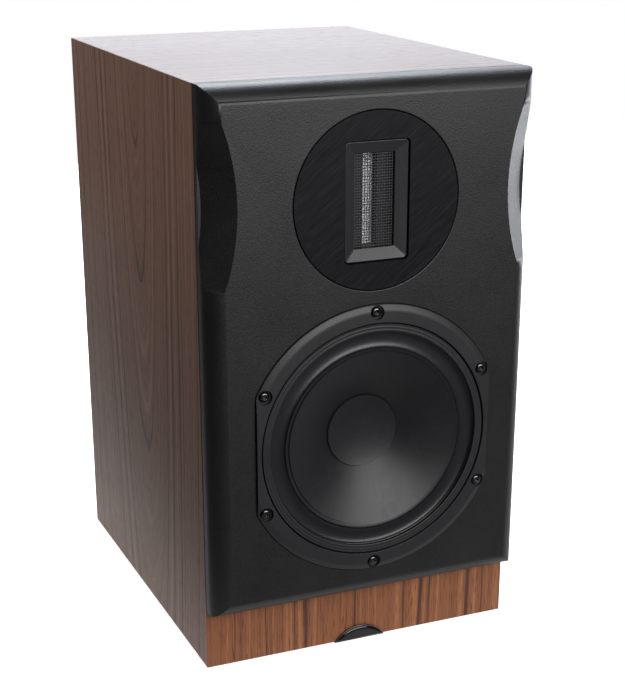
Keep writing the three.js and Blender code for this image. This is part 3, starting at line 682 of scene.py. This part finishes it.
def side_panel(sign):
    planes = [
        ((sign * (HALF_WIDTH - WALL), 0, 0), (-sign, 0, 0)),
        (corner(sign, 1), (-sign, 0, 1)),
        (corner(sign, -1), (-sign, 0, -1)),
        (corner(sign, -1), (-sign * THICK_WALL, -WALL, 0)),
    ]
    name = "right" if sign > 0 else "left"
    piece(f"{name}_side", mitred(planes), side_veneer, f"{name}_side_panel")


def level_panel(sign, name, material):
    edge = HEIGHT - WALL if sign > 0 else WALL
    planes = [
        ((0, 0, edge), (0, 0, -sign)),
        (corner(1, sign), (1, 0, -sign)),
        (corner(-1, sign), (-1, 0, -sign)),
        (corner(1, sign), (0, -WALL, -sign * THICK_WALL)),
    ]
    piece(name, mitred(planes), material, f"{name}_panel")


def front_panel():
    planes = [
        ((0, CABINET_Y + THICK_WALL, 0), (0, 1, 0)),
        (corner(1, 1), (THICK_WALL, WALL, 0)),
        (corner(-1, 1), (-THICK_WALL, WALL, 0)),
        (corner(1, 1), (0, WALL, THICK_WALL)),
        (corner(1, -1), (0, WALL, -THICK_WALL)),
    ]
    panel = piece("plinth_front", mitred(planes), plinth_veneer, "front_panel")
    carve(panel, through_holes(BAFFLE_Y, CABINET_Y + THICK_WALL + OVER))


def through_holes(front, back):
    """Cutters for the woofer's and the tweeter's holes."""
    return [
        cylinder(WOOFER_HOLE, front, back, 0, WOOFER_Z, ROUND),
        cylinder(SPIGOT_RADIUS + FIT, front, back, 0, TWEETER_Z, ROUND),
    ]


def baffle_section(low, high):
    """[across, y] outline with both front edges rounded and both back edges rebated. The rounding
    meets the flat face at CREASE."""
    back = BAFFLE_HIGH.y
    step = back - REVEAL
    centre_y = BAFFLE_Y + EDGE_RADIUS * cos(CREASE)
    line = [(low + REVEAL, back), (low + REVEAL, step), (low, step)]
    left = (low + EDGE_RADIUS, arc(pi, 1.5 * pi - CREASE, 16))
    right = (high - EDGE_RADIUS, arc(1.5 * pi + CREASE, 2 * pi, 16))
    for centre, turns in (left, right):
        for turn in turns:
            across = centre + EDGE_RADIUS * cos(turn)
            line.append((across, centre_y + EDGE_RADIUS * sin(turn)))
    return line + [(high, step), (high - REVEAL, step), (high - REVEAL, back)]


def scallop(sign):
    centre = HALF_WIDTH - SCALLOP_CUT + SCALLOP_RADIUS
    reach = radians(33)
    loops = []
    for depth in (-OVER, SCALLOP_DEPTH):
        loop = []
        for turn in arc(-reach, reach, 64):
            x = centre - SCALLOP_RADIUS * cos(turn) + depth * SCALLOP_SLANT
            loop.append((sign * x, BAFFLE_Y + depth, SCALLOP_Z + SCALLOP_RADIUS * sin(turn)))
        loops.append(loop)
    return loft(loops)


def recess(radius, edge, depth):
    """Cutter for the tweeter's round seat, its mouth rounded by edge."""
    outline = [(0, -OVER), (radius + edge, -OVER)]
    for turn in arc(0, pi / 2, 5):
        outline.append((radius + edge * (1 - sin(turn)), edge * (1 - cos(turn))))
    return moved(lathe(outline + [(radius, depth), (0, depth)], FINE, BAFFLE_Y), z=TWEETER_Z)


def screw_places():
    turns = [radians(angle) for angle in SCREW_ANGLES]
    return [(SCREW_CIRCLE * cos(t), WOOFER_Z + SCREW_CIRCLE * sin(t)) for t in turns]


def between_flats(half, front, back):
    """The space that the woofer frame's two flat sides leave."""
    return block(-half, half, front, back, WOOFER_Z - TALL, WOOFER_Z + TALL)


def woofer_seat():
    """Cutter for the recess that takes the woofer's frame."""
    back = FRAME_Y + FRAME_THICKNESS + GAP
    disc = cylinder(FRAME_RADIUS + FIT, BAFFLE_Y - OVER, back, 0, WOOFER_Z, FINE)
    seat = plain_object("seat", disc)
    flats = between_flats(FRAME_FLAT + FIT, BAFFLE_Y - 2 * OVER, back + OVER)
    carve(seat, [flats], "INTERSECT")
    points = [tuple(v.co / MM) for v in seat.data.vertices]
    faces = [tuple(p.vertices) for p in seat.data.polygons]
    bpy.data.objects.remove(seat)
    return points, faces


def baffle():
    upright = baffle_section(-HALF_WIDTH, HALF_WIDTH)
    across = baffle_section(BAFFLE_BOTTOM, HEIGHT)
    slab = loft([[(x, y, z) for x, y in upright] for z in (BAFFLE_BOTTOM, HEIGHT)])
    obj = piece("baffle", slab, baffle_paint, "front_baffle")
    ends = (-HALF_WIDTH - OVER, HALF_WIDTH + OVER)
    carve(obj, [loft([[(x, y, z) for z, y in across] for x in ends])], "INTERSECT")
    woofer_hole, tweeter_hole = through_holes(BAFFLE_Y - OVER, CABINET_Y + OVER)
    tweeter_seat = recess(PLATE_RADIUS + FIT, 0.7, PLATE_THICKNESS + GAP)
    tools = [woofer_seat(), woofer_hole, tweeter_seat, tweeter_hole, scallop(1), scallop(-1)]
    for x, z in screw_places():
        tools.append(cylinder(SCREW_HOLE, BAFFLE_Y, BAFFLE_Y + 17.5, x, z, 16))
    carve(obj, tools, sharp=28)
    ease(obj, 0.3, 32)


def segment_loop(inset, y):
    """The badge's outline, a circle segment standing on its chord, drawn in by inset."""
    radius = (BADGE_WIDTH**2 / 4 + BADGE_HEIGHT**2) / (2 * BADGE_HEIGHT)
    centre = BADGE_HEIGHT - radius
    r = radius - inset
    reach = acos(max(-1.0, min(1.0, (inset - centre) / r)))
    loop = []
    for turn in arc(pi / 2 - reach, pi / 2 + reach, 40):
        loop.append((r * cos(turn), y, centre + r * sin(turn)))
    return loop


def badge():
    back = CABINET_Y - GAP
    front = back - 1.2
    rim = [(0, back), (0, front + 0.35), (0.12, front + 0.08), (0.35, front)]
    rim += [(0.6, front + 0.1), (0.68, front + 0.45), (0.68, back)]
    data = loft([segment_loop(inset, y) for inset, y in rim], closed=True)
    piece("badge_rim", data, badge_rim, "badge", sharp=60)
    loops = [segment_loop(0.72, back)]
    for turn in arc(0, pi / 2, 7):
        inset = 0.72 + 3.6 * (1 - cos(turn))
        loops.append(segment_loop(inset, front + 0.4 - 1.4 * sin(turn)))
    piece("badge_face", loft(loops), badge_gloss, "badge", sharp=70)


# ---- woofer ----


def basket_windows():
    """Cutters for the six openings between the basket's spokes."""
    reach = (-20, 0, 20)
    corners = [(51, turn) for turn in reach] + [(95, turn) for turn in reach[::-1]]
    windows = []
    for angle in range(0, 360, 60):
        loops = []
        for y in (FRAME_Y + 12.5, FRAME_Y + 35.5):
            loop = []
            for radius, turn in corners:
                t = radians(angle + turn)
                loop.append((radius * cos(t), y, WOOFER_Z + radius * sin(t)))
            loops.append(loop)
        windows.append(loft(loops))
    return windows


def woofer_frame():
    edge = [(FRAME_RADIUS, 1.6), (FRAME_RADIUS, FRAME_THICKNESS)]
    outside = [(77, FRAME_THICKNESS), (77, 10), (53.5, 38), (46.5, 45.7), (30, 45.7)]
    inside = [(30, 43.2), (43.5, 43.2), (45.5, 37.6), (50.6, 37.6), (74.4, 10.8), (72.9, 8.6)]
    lip = [(72.9, 4.6), (78.2, 4.6), (78.2, 0), (86, 0)]
    outline = edge + outside + inside + lip
    radii = [0.7, 0.4] + [0.5] * 13 + [0.35, 1.2]
    data = lathe(softened(outline, radii), FINE, FRAME_Y)
    obj = piece("woofer_frame", data, frame_black, "woofer_basket", place=AT_WOOFER)
    carve(obj, [between_flats(FRAME_FLAT, FRAME_Y - OVER, FRAME_Y + 60)], "INTERSECT")
    tools = basket_windows()
    for x, z in screw_places():
        tools.append(cylinder(4.75, FRAME_Y - 2, FRAME_Y + 3, x, z))
        tools.append(cylinder(2.3, FRAME_Y - 3, FRAME_Y + 9, x, z, 24))
    carve(obj, tools)
    ease(obj, 0.25, 50)


def trim_ring():
    outline = [(77.2, 0.6), (77.2, 3.1), (72.2, 3.1)]
    outline += [(72.2 + i, 0.6 if i % 2 else 0.85) for i in range(5)]
    data = lathe(softened(outline, [0.3] * 3 + [0.35] * 5), FINE, FRAME_Y)
    piece("trim_ring", data, trim_black, "woofer_trim_ring", place=AT_WOOFER)


def cone_depth(radius):
    """The cone's front, a little steeper towards its neck."""
    inward = CONE_RADIUS - radius
    return 3.54 + 0.456 * inward + 0.00265 * inward * inward


def cone():
    radii = [NECK_RADIUS + (CONE_RADIUS - NECK_RADIUS) * i / 40 for i in range(41)]
    line = [(radius, cone_depth(radius) + SKIN / 2) for radius in radii]
    data = lathe(skin(line, SKIN), FINE, FRAME_Y)
    piece("cone", data, cone_paper, "woofer_cone", "woofer_piston", 50, AT_WOOFER)


def dust_cap():
    radii = [CAP_RADIUS * i / 18 for i in range(19)]
    line = [(radius, 21.2 + 3.8 * (1 - (radius / CAP_RADIUS) ** 2)) for radius in radii]
    data = lathe(skin(line, SKIN), ROUND, FRAME_Y)
    piece("dust_cap", data, cap_paper, "woofer_dust_cap", "woofer_piston", 50, AT_WOOFER)


def radial_blend(obj):
    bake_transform(obj)


def surround():
    line = [(r, cone_depth(r) + 1.55 * SKIN) for r in (56.2, 57.3, CONE_RADIUS, 59.6)]
    for turn in arc(pi, 0, 28):
        radius = ROLL_RADIUS + ROLL_HALF_WIDTH * cos(turn)
        line.append((radius, LIP_DEPTH + ROLL_DEPTH * sin(turn)))
    line += [(73.6, LIP_DEPTH), (76.8, LIP_DEPTH)]
    data = lathe(skin(line, SKIN), FINE, FRAME_Y)
    obj = piece("surround", data, rubber, "woofer_surround", None, sharp=60, place=AT_WOOFER)
    radial_blend(obj)


def spider():
    steps, folds = 64, 5
    line = [(16.8, SPIDER_DEPTH)]
    for i in range(steps + 1):
        wave = sin(2 * pi * folds * i / steps)
        line.append((20 + 25 * i / steps, SPIDER_DEPTH - 1.3 * wave))
    line.append((50.2, SPIDER_DEPTH))
    data = lathe(skin(line, 0.5), ROUND, FRAME_Y)
    obj = piece("spider", data, spider_cloth, "woofer_spider", None, sharp=70, place=AT_WOOFER)
    radial_blend(obj)


def prism(sides, radius, front, back, x, z):
    loops = []
    for y in (front, back):
        turns = (2 * pi * (i + 0.5) / sides for i in range(sides))
        loops.append([(x + radius * cos(t), y, z + radius * sin(t)) for t in turns])
    return loft(loops)


def woofer_screws():
    """Domed heads with a hex socket."""
    dome = [(0, 0.75), (1.9, 0.8), (2.6, 1.05), (3.05, 1.5), (3.3, 2.1), (3.35, 2.7)]
    profile = dome + [(2, 2.7), (2, 19), (0, 20)]
    for i, (x, z) in enumerate(screw_places(), 1):
        data, node = lathe(profile, SMALL, FRAME_Y), f"woofer_screw_{i}"
        obj = piece(f"frame_screw_{i}", data, screw_black, node, place=(x, z))
        carve(obj, [prism(6, 1.7, FRAME_Y - 1, FRAME_Y + 2.4, x, z)])
        ease(obj, 0.12, 50)


# ---- tweeter ----


def tweeter_plate():
    rim = [(0, 0), (PLATE_RADIUS, 0), (PLATE_RADIUS, PLATE_THICKNESS)]
    spigot = [(SPIGOT_RADIUS, PLATE_THICKNESS), (SPIGOT_RADIUS, 50), (SPIGOT_RADIUS - 3, 50)]
    outline = rim + spigot + [(SPIGOT_RADIUS - 3, PLATE_THICKNESS), (0, PLATE_THICKNESS)]
    profile = softened(outline, [0, 0.5, 0.2, 0, 0.3, 0.3, 0, 0], closed=False)
    data = lathe(profile, FINE, BAFFLE_Y)
    obj = piece("tweeter_face", data, plate_black, "tweeter_plate", place=AT_TWEETER)
    wide, high = MOUTH[0] + 1.4, MOUTH[1] + 1.4
    depths = (BAFFLE_Y - OVER, BAFFLE_Y + 2 * OVER)
    hole = loft([rectangle_loop(wide, high, 3.2, y) for y in depths])
    carve(obj, [moved(hole, z=TWEETER_Z)])
    ease(obj, 0.15, 60)


def tweeter_mouth():
    """Insert set a little behind the plate's face: four bevels lead in to the window."""
    wide, high = MOUTH
    opening, tall = WINDOW
    front, back, shelf, edge = 1.3, 7.5, 5.7, 0.5
    rows = [(wide, high, 2.6, back)]
    for turn in arc(0, pi / 2, 5):
        inset = edge * (1 - cos(turn))
        depth = front + edge * (1 - sin(turn))
        rows.append((wide - 2 * inset, high - 2 * inset, 2.6 - inset, depth))
    rows += [
        (opening + 0.4, tall + 0.4, 0.6, BEVEL_DEPTH - 0.15),
        (opening, tall, 0.5, BEVEL_DEPTH + 0.15),
        (opening, tall, 0.5, shelf),
        (opening + 3.8, tall + 3.8, 0.35, shelf),
        (opening + 3.8, tall + 3.8, 0.35, back),
    ]
    loops = [rectangle_loop(w, h, r, BAFFLE_Y + depth) for w, h, r, depth in rows]
    data = loft(loops, closed=True)
    piece("mouth", data, mouth_black, "tweeter_mouth", sharp=25, place=AT_TWEETER)


def wire_tube(path, wide, deep):
    """A thin wire along path, wide across the sheet and deep through it, with five sides."""
    loops = []
    across = Vector((0, 0, 1)) if abs(path[-1][0] - path[0][0]) > 1 else Vector((1, 0, 0))
    for point in path:
        loop = []
        for i in range(5):
            turn = 2 * pi * i / 5
            through = Vector((0, deep * sin(turn), 0))
            loop.append(tuple(Vector(point) + across * wide * cos(turn) + through))
        loops.append(loop)
    return loft(loops)


def tweeter_mesh():
    """Woven wire cloth behind the window."""
    width, height = WINDOW[0] + 3.2, WINDOW[1] + 3.2
    columns, rows = 18, 36
    middle = BAFFLE_Y + 6.25
    lift, wide, deep = 0.12, 0.27, 0.13
    across = [width / columns * (i + 0.5) - width / 2 for i in range(columns)]
    upward = [height / rows * (i + 0.5) - height / 2 for i in range(rows)]
    upright = [
        [(x, middle + lift * (-1) ** (c + r), z) for r, z in enumerate(upward)]
        for c, x in enumerate(across)
    ]
    level = [
        [(x, middle - lift * (-1) ** (c + r), z) for c, x in enumerate(across)]
        for r, z in enumerate(upward)
    ]
    points, faces = [], []
    for path in upright + level:
        tube_points, tube_faces = wire_tube(path, wide, deep)
        faces += [tuple(i + len(points) for i in face) for face in tube_faces]
        points += tube_points
    piece("mesh", (points, faces), mesh_black, "tweeter_mesh", sharp=80, place=AT_TWEETER)


def ribbon():
    """Foil corrugated across its width, flat at both ends."""
    folds, per_fold, amplitude, thick = 76, 8, 0.22, 0.1
    half_width, flat_end = 4, 3.4
    line = [(-RIBBON_HALF - flat_end, 0), (-RIBBON_HALF, 0)]
    for i in range(1, folds * per_fold):
        z = -RIBBON_HALF + 2 * RIBBON_HALF * i / (folds * per_fold)
        line.append((z, amplitude * sin(2 * pi * i / per_fold)))
    line += [(RIBBON_HALF, 0), (RIBBON_HALF + flat_end, 0)]
    middle = BAFFLE_Y + RIBBON_DEPTH
    outline = [(z, middle + wave - thick / 2) for z, wave in line]
    outline += [(z, middle + wave + thick / 2) for z, wave in line[::-1]]
    points, faces = [], []
    count = len(outline)
    for x in (-half_width, half_width):
        points += [(x, y, z) for z, y in outline]
    for i in range(count):
        j = (i + 1) % count
        faces.append((i, j, count + j, count + i))
    for i in range(len(line) - 1):
        back_i, back_j = count - 1 - i, count - 2 - i
        faces.append((i, back_i, back_j, i + 1))
        faces.append((count + i, count + i + 1, count + back_j, count + back_i))
    piece("ribbon", (points, faces), foil, "ribbon_foil", "ribbon", 50, AT_TWEETER)


# ---- back ----


def terminal_cup():
    rows = [(70, 50, 5, -23), (70, 50, 5, 0.3), (84, 64, 6, 0.3), (84, 64, 6, 2.1)]
    rows += [(83.6, 63.6, 5.8, 2.5), (82.8, 62.8, 5.4, 2.75), (82, 62, 5, 2.8), (66, 46, 5, 2.8)]
    rows += [(65, 45, 4.6, 2.6), (64.3, 44.3, 4.2, 1.9), (64, 44, 4, 0.5), (64, 44, 4, -19)]
    rows += [(63.6, 43.6, 3.8, -19.7), (62.6, 42.6, 3.2, -20)]
    data = loft([rectangle_loop(w, h, r, BACK_Y + out) for w, h, r, out in rows])
    place = (0, TERMINAL_Z)
    obj = piece("terminal_dish", data, moulded_black, "terminal_cup", sharp=30, place=place)
    tools = [cylinder(3.3, BACK_Y - 30, BACK_Y, x, TERMINAL_Z) for x in (-POST_X, POST_X)]
    for x, z in terminal_screw_places():
        tools.append(cylinder(1.9, BACK_Y - OVER, BACK_Y + OVER, x, z, 24))
    carve(obj, tools, sharp=30)


def terminal_screw_places():
    return [(sx * 38.3, TERMINAL_Z + sz * 28.3) for sx, sz in ((-1, -1), (1, -1), (1, 1), (-1, 1))]


def terminal_screws():
    """Cross-head screws."""
    profile = [(0, -13), (1.5, -11), (1.5, 3.1), (3, 3.1)]
    profile += [(2.95, 3.5), (2.6, 4.1), (1.8, 4.5), (0, 4.7)]
    long, thin = 1.5, 0.32
    bars = [(long, thin), (thin, long)]
    front, back = BACK_Y + 3.7, BACK_Y + 6
    for i, (x, z) in enumerate(terminal_screw_places(), 1):
        data, node = lathe(profile, 32, BACK_Y), f"terminal_screw_{i}"
        obj = piece(f"cup_screw_{i}", data, screw_black, node, place=(x, z))
        carve(obj, [block(x - a, x + a, front, back, z - b, z + b) for a, b in bars])


def binding_post(name, sign, material):
    place = (sign * POST_X, TERMINAL_Z)
    stud = [(0, -40), (3, -40), (3, -19.7), (6, -19.7), (6, -15), (3, -15)]
    stud += [(3, 7.5), (2.05, 7.5), (2.05, -8), (0, -8)]
    radii = [0, 0.3, 0, 0.3, 0.4, 0, 0.3, 0.3, 0, 0]
    data = lathe(softened(stud, radii, closed=False), SMALL, BACK_Y)
    piece(f"{name}_stud", data, brass, f"{name}_post_stud", place=place)
    ring = softened([(3.4, -14.7), (6.2, -14.7), (6.2, -13.5), (3.4, -13.5)], 0.25)
    data = lathe(ring, SMALL, BACK_Y)
    body, node = f"{name}_washer", f"{name}_post_washer"
    piece(f"{name}_washer_ring", data, brass, node, body, place=place)
    body, node = f"{name}_knob", f"{name}_post_knob"
    piece(f"{name}_cap", knurled_knob(), material, node, body, sharp=45, place=place)


def knurled_knob(flutes=18, per_flute=8):
    """Fluted sleeve with a bore and a smooth collar at its foot. A row is the radius, how far out
    from the cabinet's back, and the flutes' depth."""
    count = flutes * per_flute
    rows = [(3.4, -13.2, 0), (6.0, -13.2, 0), (6.5, -12.7, 0), (6.5, -10.6, 0), (6.1, -10.3, 0)]
    rows += [(6.1, -9.9, 0), (6.45, -9.4, 0.2), (6.5, -8.8, 0.38), (6.5, 6.2, 0.38)]
    rows += [(6.4, 7.6, 0.25), (6.0, 8.6, 0.05), (5.6, 9.0, 0), (3.8, 9.0, 0), (3.4, 8.6, 0)]
    loops = []
    for radius, out, wave in rows:
        loop = []
        for i in range(count):
            turn = 2 * pi * i / count
            r = radius + wave * cos(flutes * turn)
            loop.append((r * cos(turn), BACK_Y + out, r * sin(turn)))
        loops.append(loop)
    return loft(loops, closed=True)


def port():
    outline = [(30, -120), (27.8, -112), (27.8, -19), (33, -19), (33, 0.3), (40, 0.3), (40, 2)]
    outline += [(38.5, 2.8), (34, 2.2), (29, -2), (26, -9), (25, -17), (25, -111), (27.4, -120)]
    radii = [1, 4, 0, 0.3, 0, 0.2, 0.9, 1.6, 4, 5, 5, 6, 6, 1]
    data = lathe(softened(outline, radii, steps=6), ROUND, BACK_Y)
    piece("port", data, moulded_black, "port_tube", sharp=40, place=(0, PORT_Z))


# ---- carried-over CAD nodes ----

CARRIED = {
    back_paint: ["back_panel"],
    mdf: ["window_brace"],
    felt: ["acoustic_lining"],
    foil: ["voice_coil_former"],
    coil_copper: ["voice_coil"],
    copper: ["ribbon_transformer", "woofer_inductor", "tweeter_inductor"],
    dull_brass: ["ribbon_clamp_upper", "ribbon_clamp_lower"],
    steel: ["woofer_top_plate", "woofer_yoke"],
    dark_steel: ["ribbon_yoke"],
    magnet_steel: ["ribbon_magnet_left", "ribbon_magnet_right"],
    ferrite: ["woofer_magnet"],
    moulded_black: ["tweeter_housing"],
    frame_black: ["tweeter_ring_nut"],
    board_green: ["crossover_board"],
    sleeve_red: ["woofer_capacitor", "tweeter_capacitor"],
    ceramic: ["crossover_resistor"],
    wire_sleeve: ["woofer_wire", "tweeter_wire"],
}


def dress_cad_nodes():
    for material, names in CARRIED.items():
        for name in names:
            node = frame["nodes"][name]
            node.data.materials.clear()
            node.data.materials.append(material)
            weld = node.modifiers.new("weld", "WELD")
            weld.merge_threshold = 0.01 * MM
            bevel = node.modifiers.new("ease", "BEVEL")
            bevel.width = 0.3 * MM
            bevel.segments = 2
            bevel.limit_method = "ANGLE"
            bevel.angle_limit = radians(50)


# ---- studio ----


def studio_surface(name, corners, material):
    mesh = bpy.data.meshes.new(name)
    mesh.from_pydata(corners, [], [(0, 1, 2, 3)])
    mesh.materials.append(material)
    obj = linked(name, mesh)
    return obj


def floor():
    """White paper to the camera. To other rays it is dark grey, a painted shade, and glows, a
    painted pool of light, only under, behind and to the right of the speaker."""
    look = Look("floor", Roughness=0.9, Emission_Color=rgb(1, 1, 1))
    x, y, _ = look.axes()
    # painted pool of light: the patch that glows to rays other than the camera's
    painted_light_pool = look.times(look.between(x, -0.22, -0.14), look.between(y, -0.25, -0.15))
    seen = look.add("LightPath").outputs["Is Camera Ray"]
    paper = look.tone(look.noise(3), rgb(0.88, 0.88, 0.88), 0.86 / 0.88, 0.9 / 0.88)
    # painted shade: dark grey to rays other than the camera's
    tone = look.blend(seen, rgb(0.1, 0.1, 0.1), paper)
    glow = look.between(seen, 0.0, 1.0, look.times(painted_light_pool, 0.62), 0.7)
    half, front, back = 2, -2, 1.7
    corners = [(-half, front, 0), (half, front, 0), (half, back, 0), (-half, back, 0)]
    studio_surface("floor", corners, look.feed(Base_Color=tone, Emission_Strength=glow))


def flag():
    """A black card that keeps light off the left side, out of the camera's sight."""
    look = Look("flag", Roughness=1.0, Base_Color=rgb(0.005, 0.005, 0.005))
    x, top, front, back = -0.55, 0.55, -0.9, 1.4
    corners = [(x, front, 0.0), (x, back, 0.0), (x, back, top), (x, front, top)]
    card = studio_surface("flag", corners, look.material)
    card.visible_camera = False


def softbox(name, place, aim, size, power, tint=(1, 1, 1)):
    """A rectangular lamp, hidden from the camera. Places are in metres and power is in watts."""
    data = bpy.data.lights.new(name, "AREA")
    data.shape = "RECTANGLE"
    data.size, data.size_y = size
    data.energy = power
    data.color = tint
    obj = linked(name, data)
    obj.location = place
    obj.rotation_euler = (Vector(aim) - Vector(place)).to_track_quat("-Z", "Y").to_euler()
    obj.visible_camera = False


def world():
    """White to the camera, and almost dark to the object."""
    made = bpy.data.worlds.new("studio")
    made.use_nodes = True
    tree = made.node_tree
    tree.nodes.clear()
    out = tree.nodes.new("ShaderNodeOutputWorld")
    mix = tree.nodes.new("ShaderNodeMixShader")
    path = tree.nodes.new("ShaderNodeLightPath")
    for strength, socket in ((0.06, 1), (1.0, 2)):
        background = tree.nodes.new("ShaderNodeBackground")
        background.inputs[1].default_value = strength
        background.inputs[0].default_value = (1, 1, 1, 1)
        tree.links.new(background.outputs[0], mix.inputs[socket])
    tree.links.new(path.outputs["Is Camera Ray"], mix.inputs[0])
    tree.links.new(mix.outputs[0], out.inputs[0])
    bpy.context.scene.world = made


def lights():
    softbox("front_low", (0.27, -1.15, 0.56), (0.0, -0.15, 0.35), (1.0, 0.36), 8.2)
    softbox("front_high", (0.12, -1.10, 0.93), (0.0, -0.15, 0.35), (1.15, 0.40), 4.3)
    softbox("overhead", (0.3, 1.16, 1.7), (0.3, 1.17, 0), (1.3, 1.2), 58, (0.93, 0.98, 1.06))
    softbox("backdrop", (0.9, 1.9, 1.0), (0.1, 0, 0.35), (2.6, 1.4), 20, (0.88, 0.96, 1.1))
    softbox("right", (0.85, 0.45, 0.2), (0, 0, 0.2), (1.0, 0.4), 4.5, (0.94, 0.97, 1.04))
    softbox("left", (-1.3, 0.7, 1.4), (-0.11, 0, 0.2), (0.7, 0.7), 13)


def camera():
    """The photograph's viewpoint, solved from the cabinet's corners."""
    data = bpy.data.cameras.new("camera")
    data.sensor_width = 36
    data.lens = 78.74
    data.shift_x = -0.0037
    data.shift_y = 0.132
    data.clip_start, data.clip_end = 0.05, 50
    obj = linked("camera", data)
    obj.location = (-0.3964, -0.97915, 0.4963)
    elevation, azimuth = radians(20.621), radians(-23.146)
    obj.rotation_euler = (pi / 2 - elevation, 0, azimuth)
    bpy.context.scene.camera = obj


# ---- assembly ----

for side in (-1, 1):
    side_panel(side)
level_panel(1, "top", top_veneer)
level_panel(-1, "bottom", plinth_veneer)
front_panel()
baffle()
badge()

woofer_frame()
trim_ring()
cone()
dust_cap()
surround()
spider()
woofer_screws()

tweeter_plate()
tweeter_mouth()
tweeter_mesh()
ribbon()

terminal_cup()
terminal_screws()
binding_post("red", -1, knob_red)
binding_post("black", 1, knob_black)
port()
dress_cad_nodes()

floor()
flag()
world()
lights()
camera()

view = bpy.context.scene.view_settings
view.view_transform = "Standard"
view.look = "None"
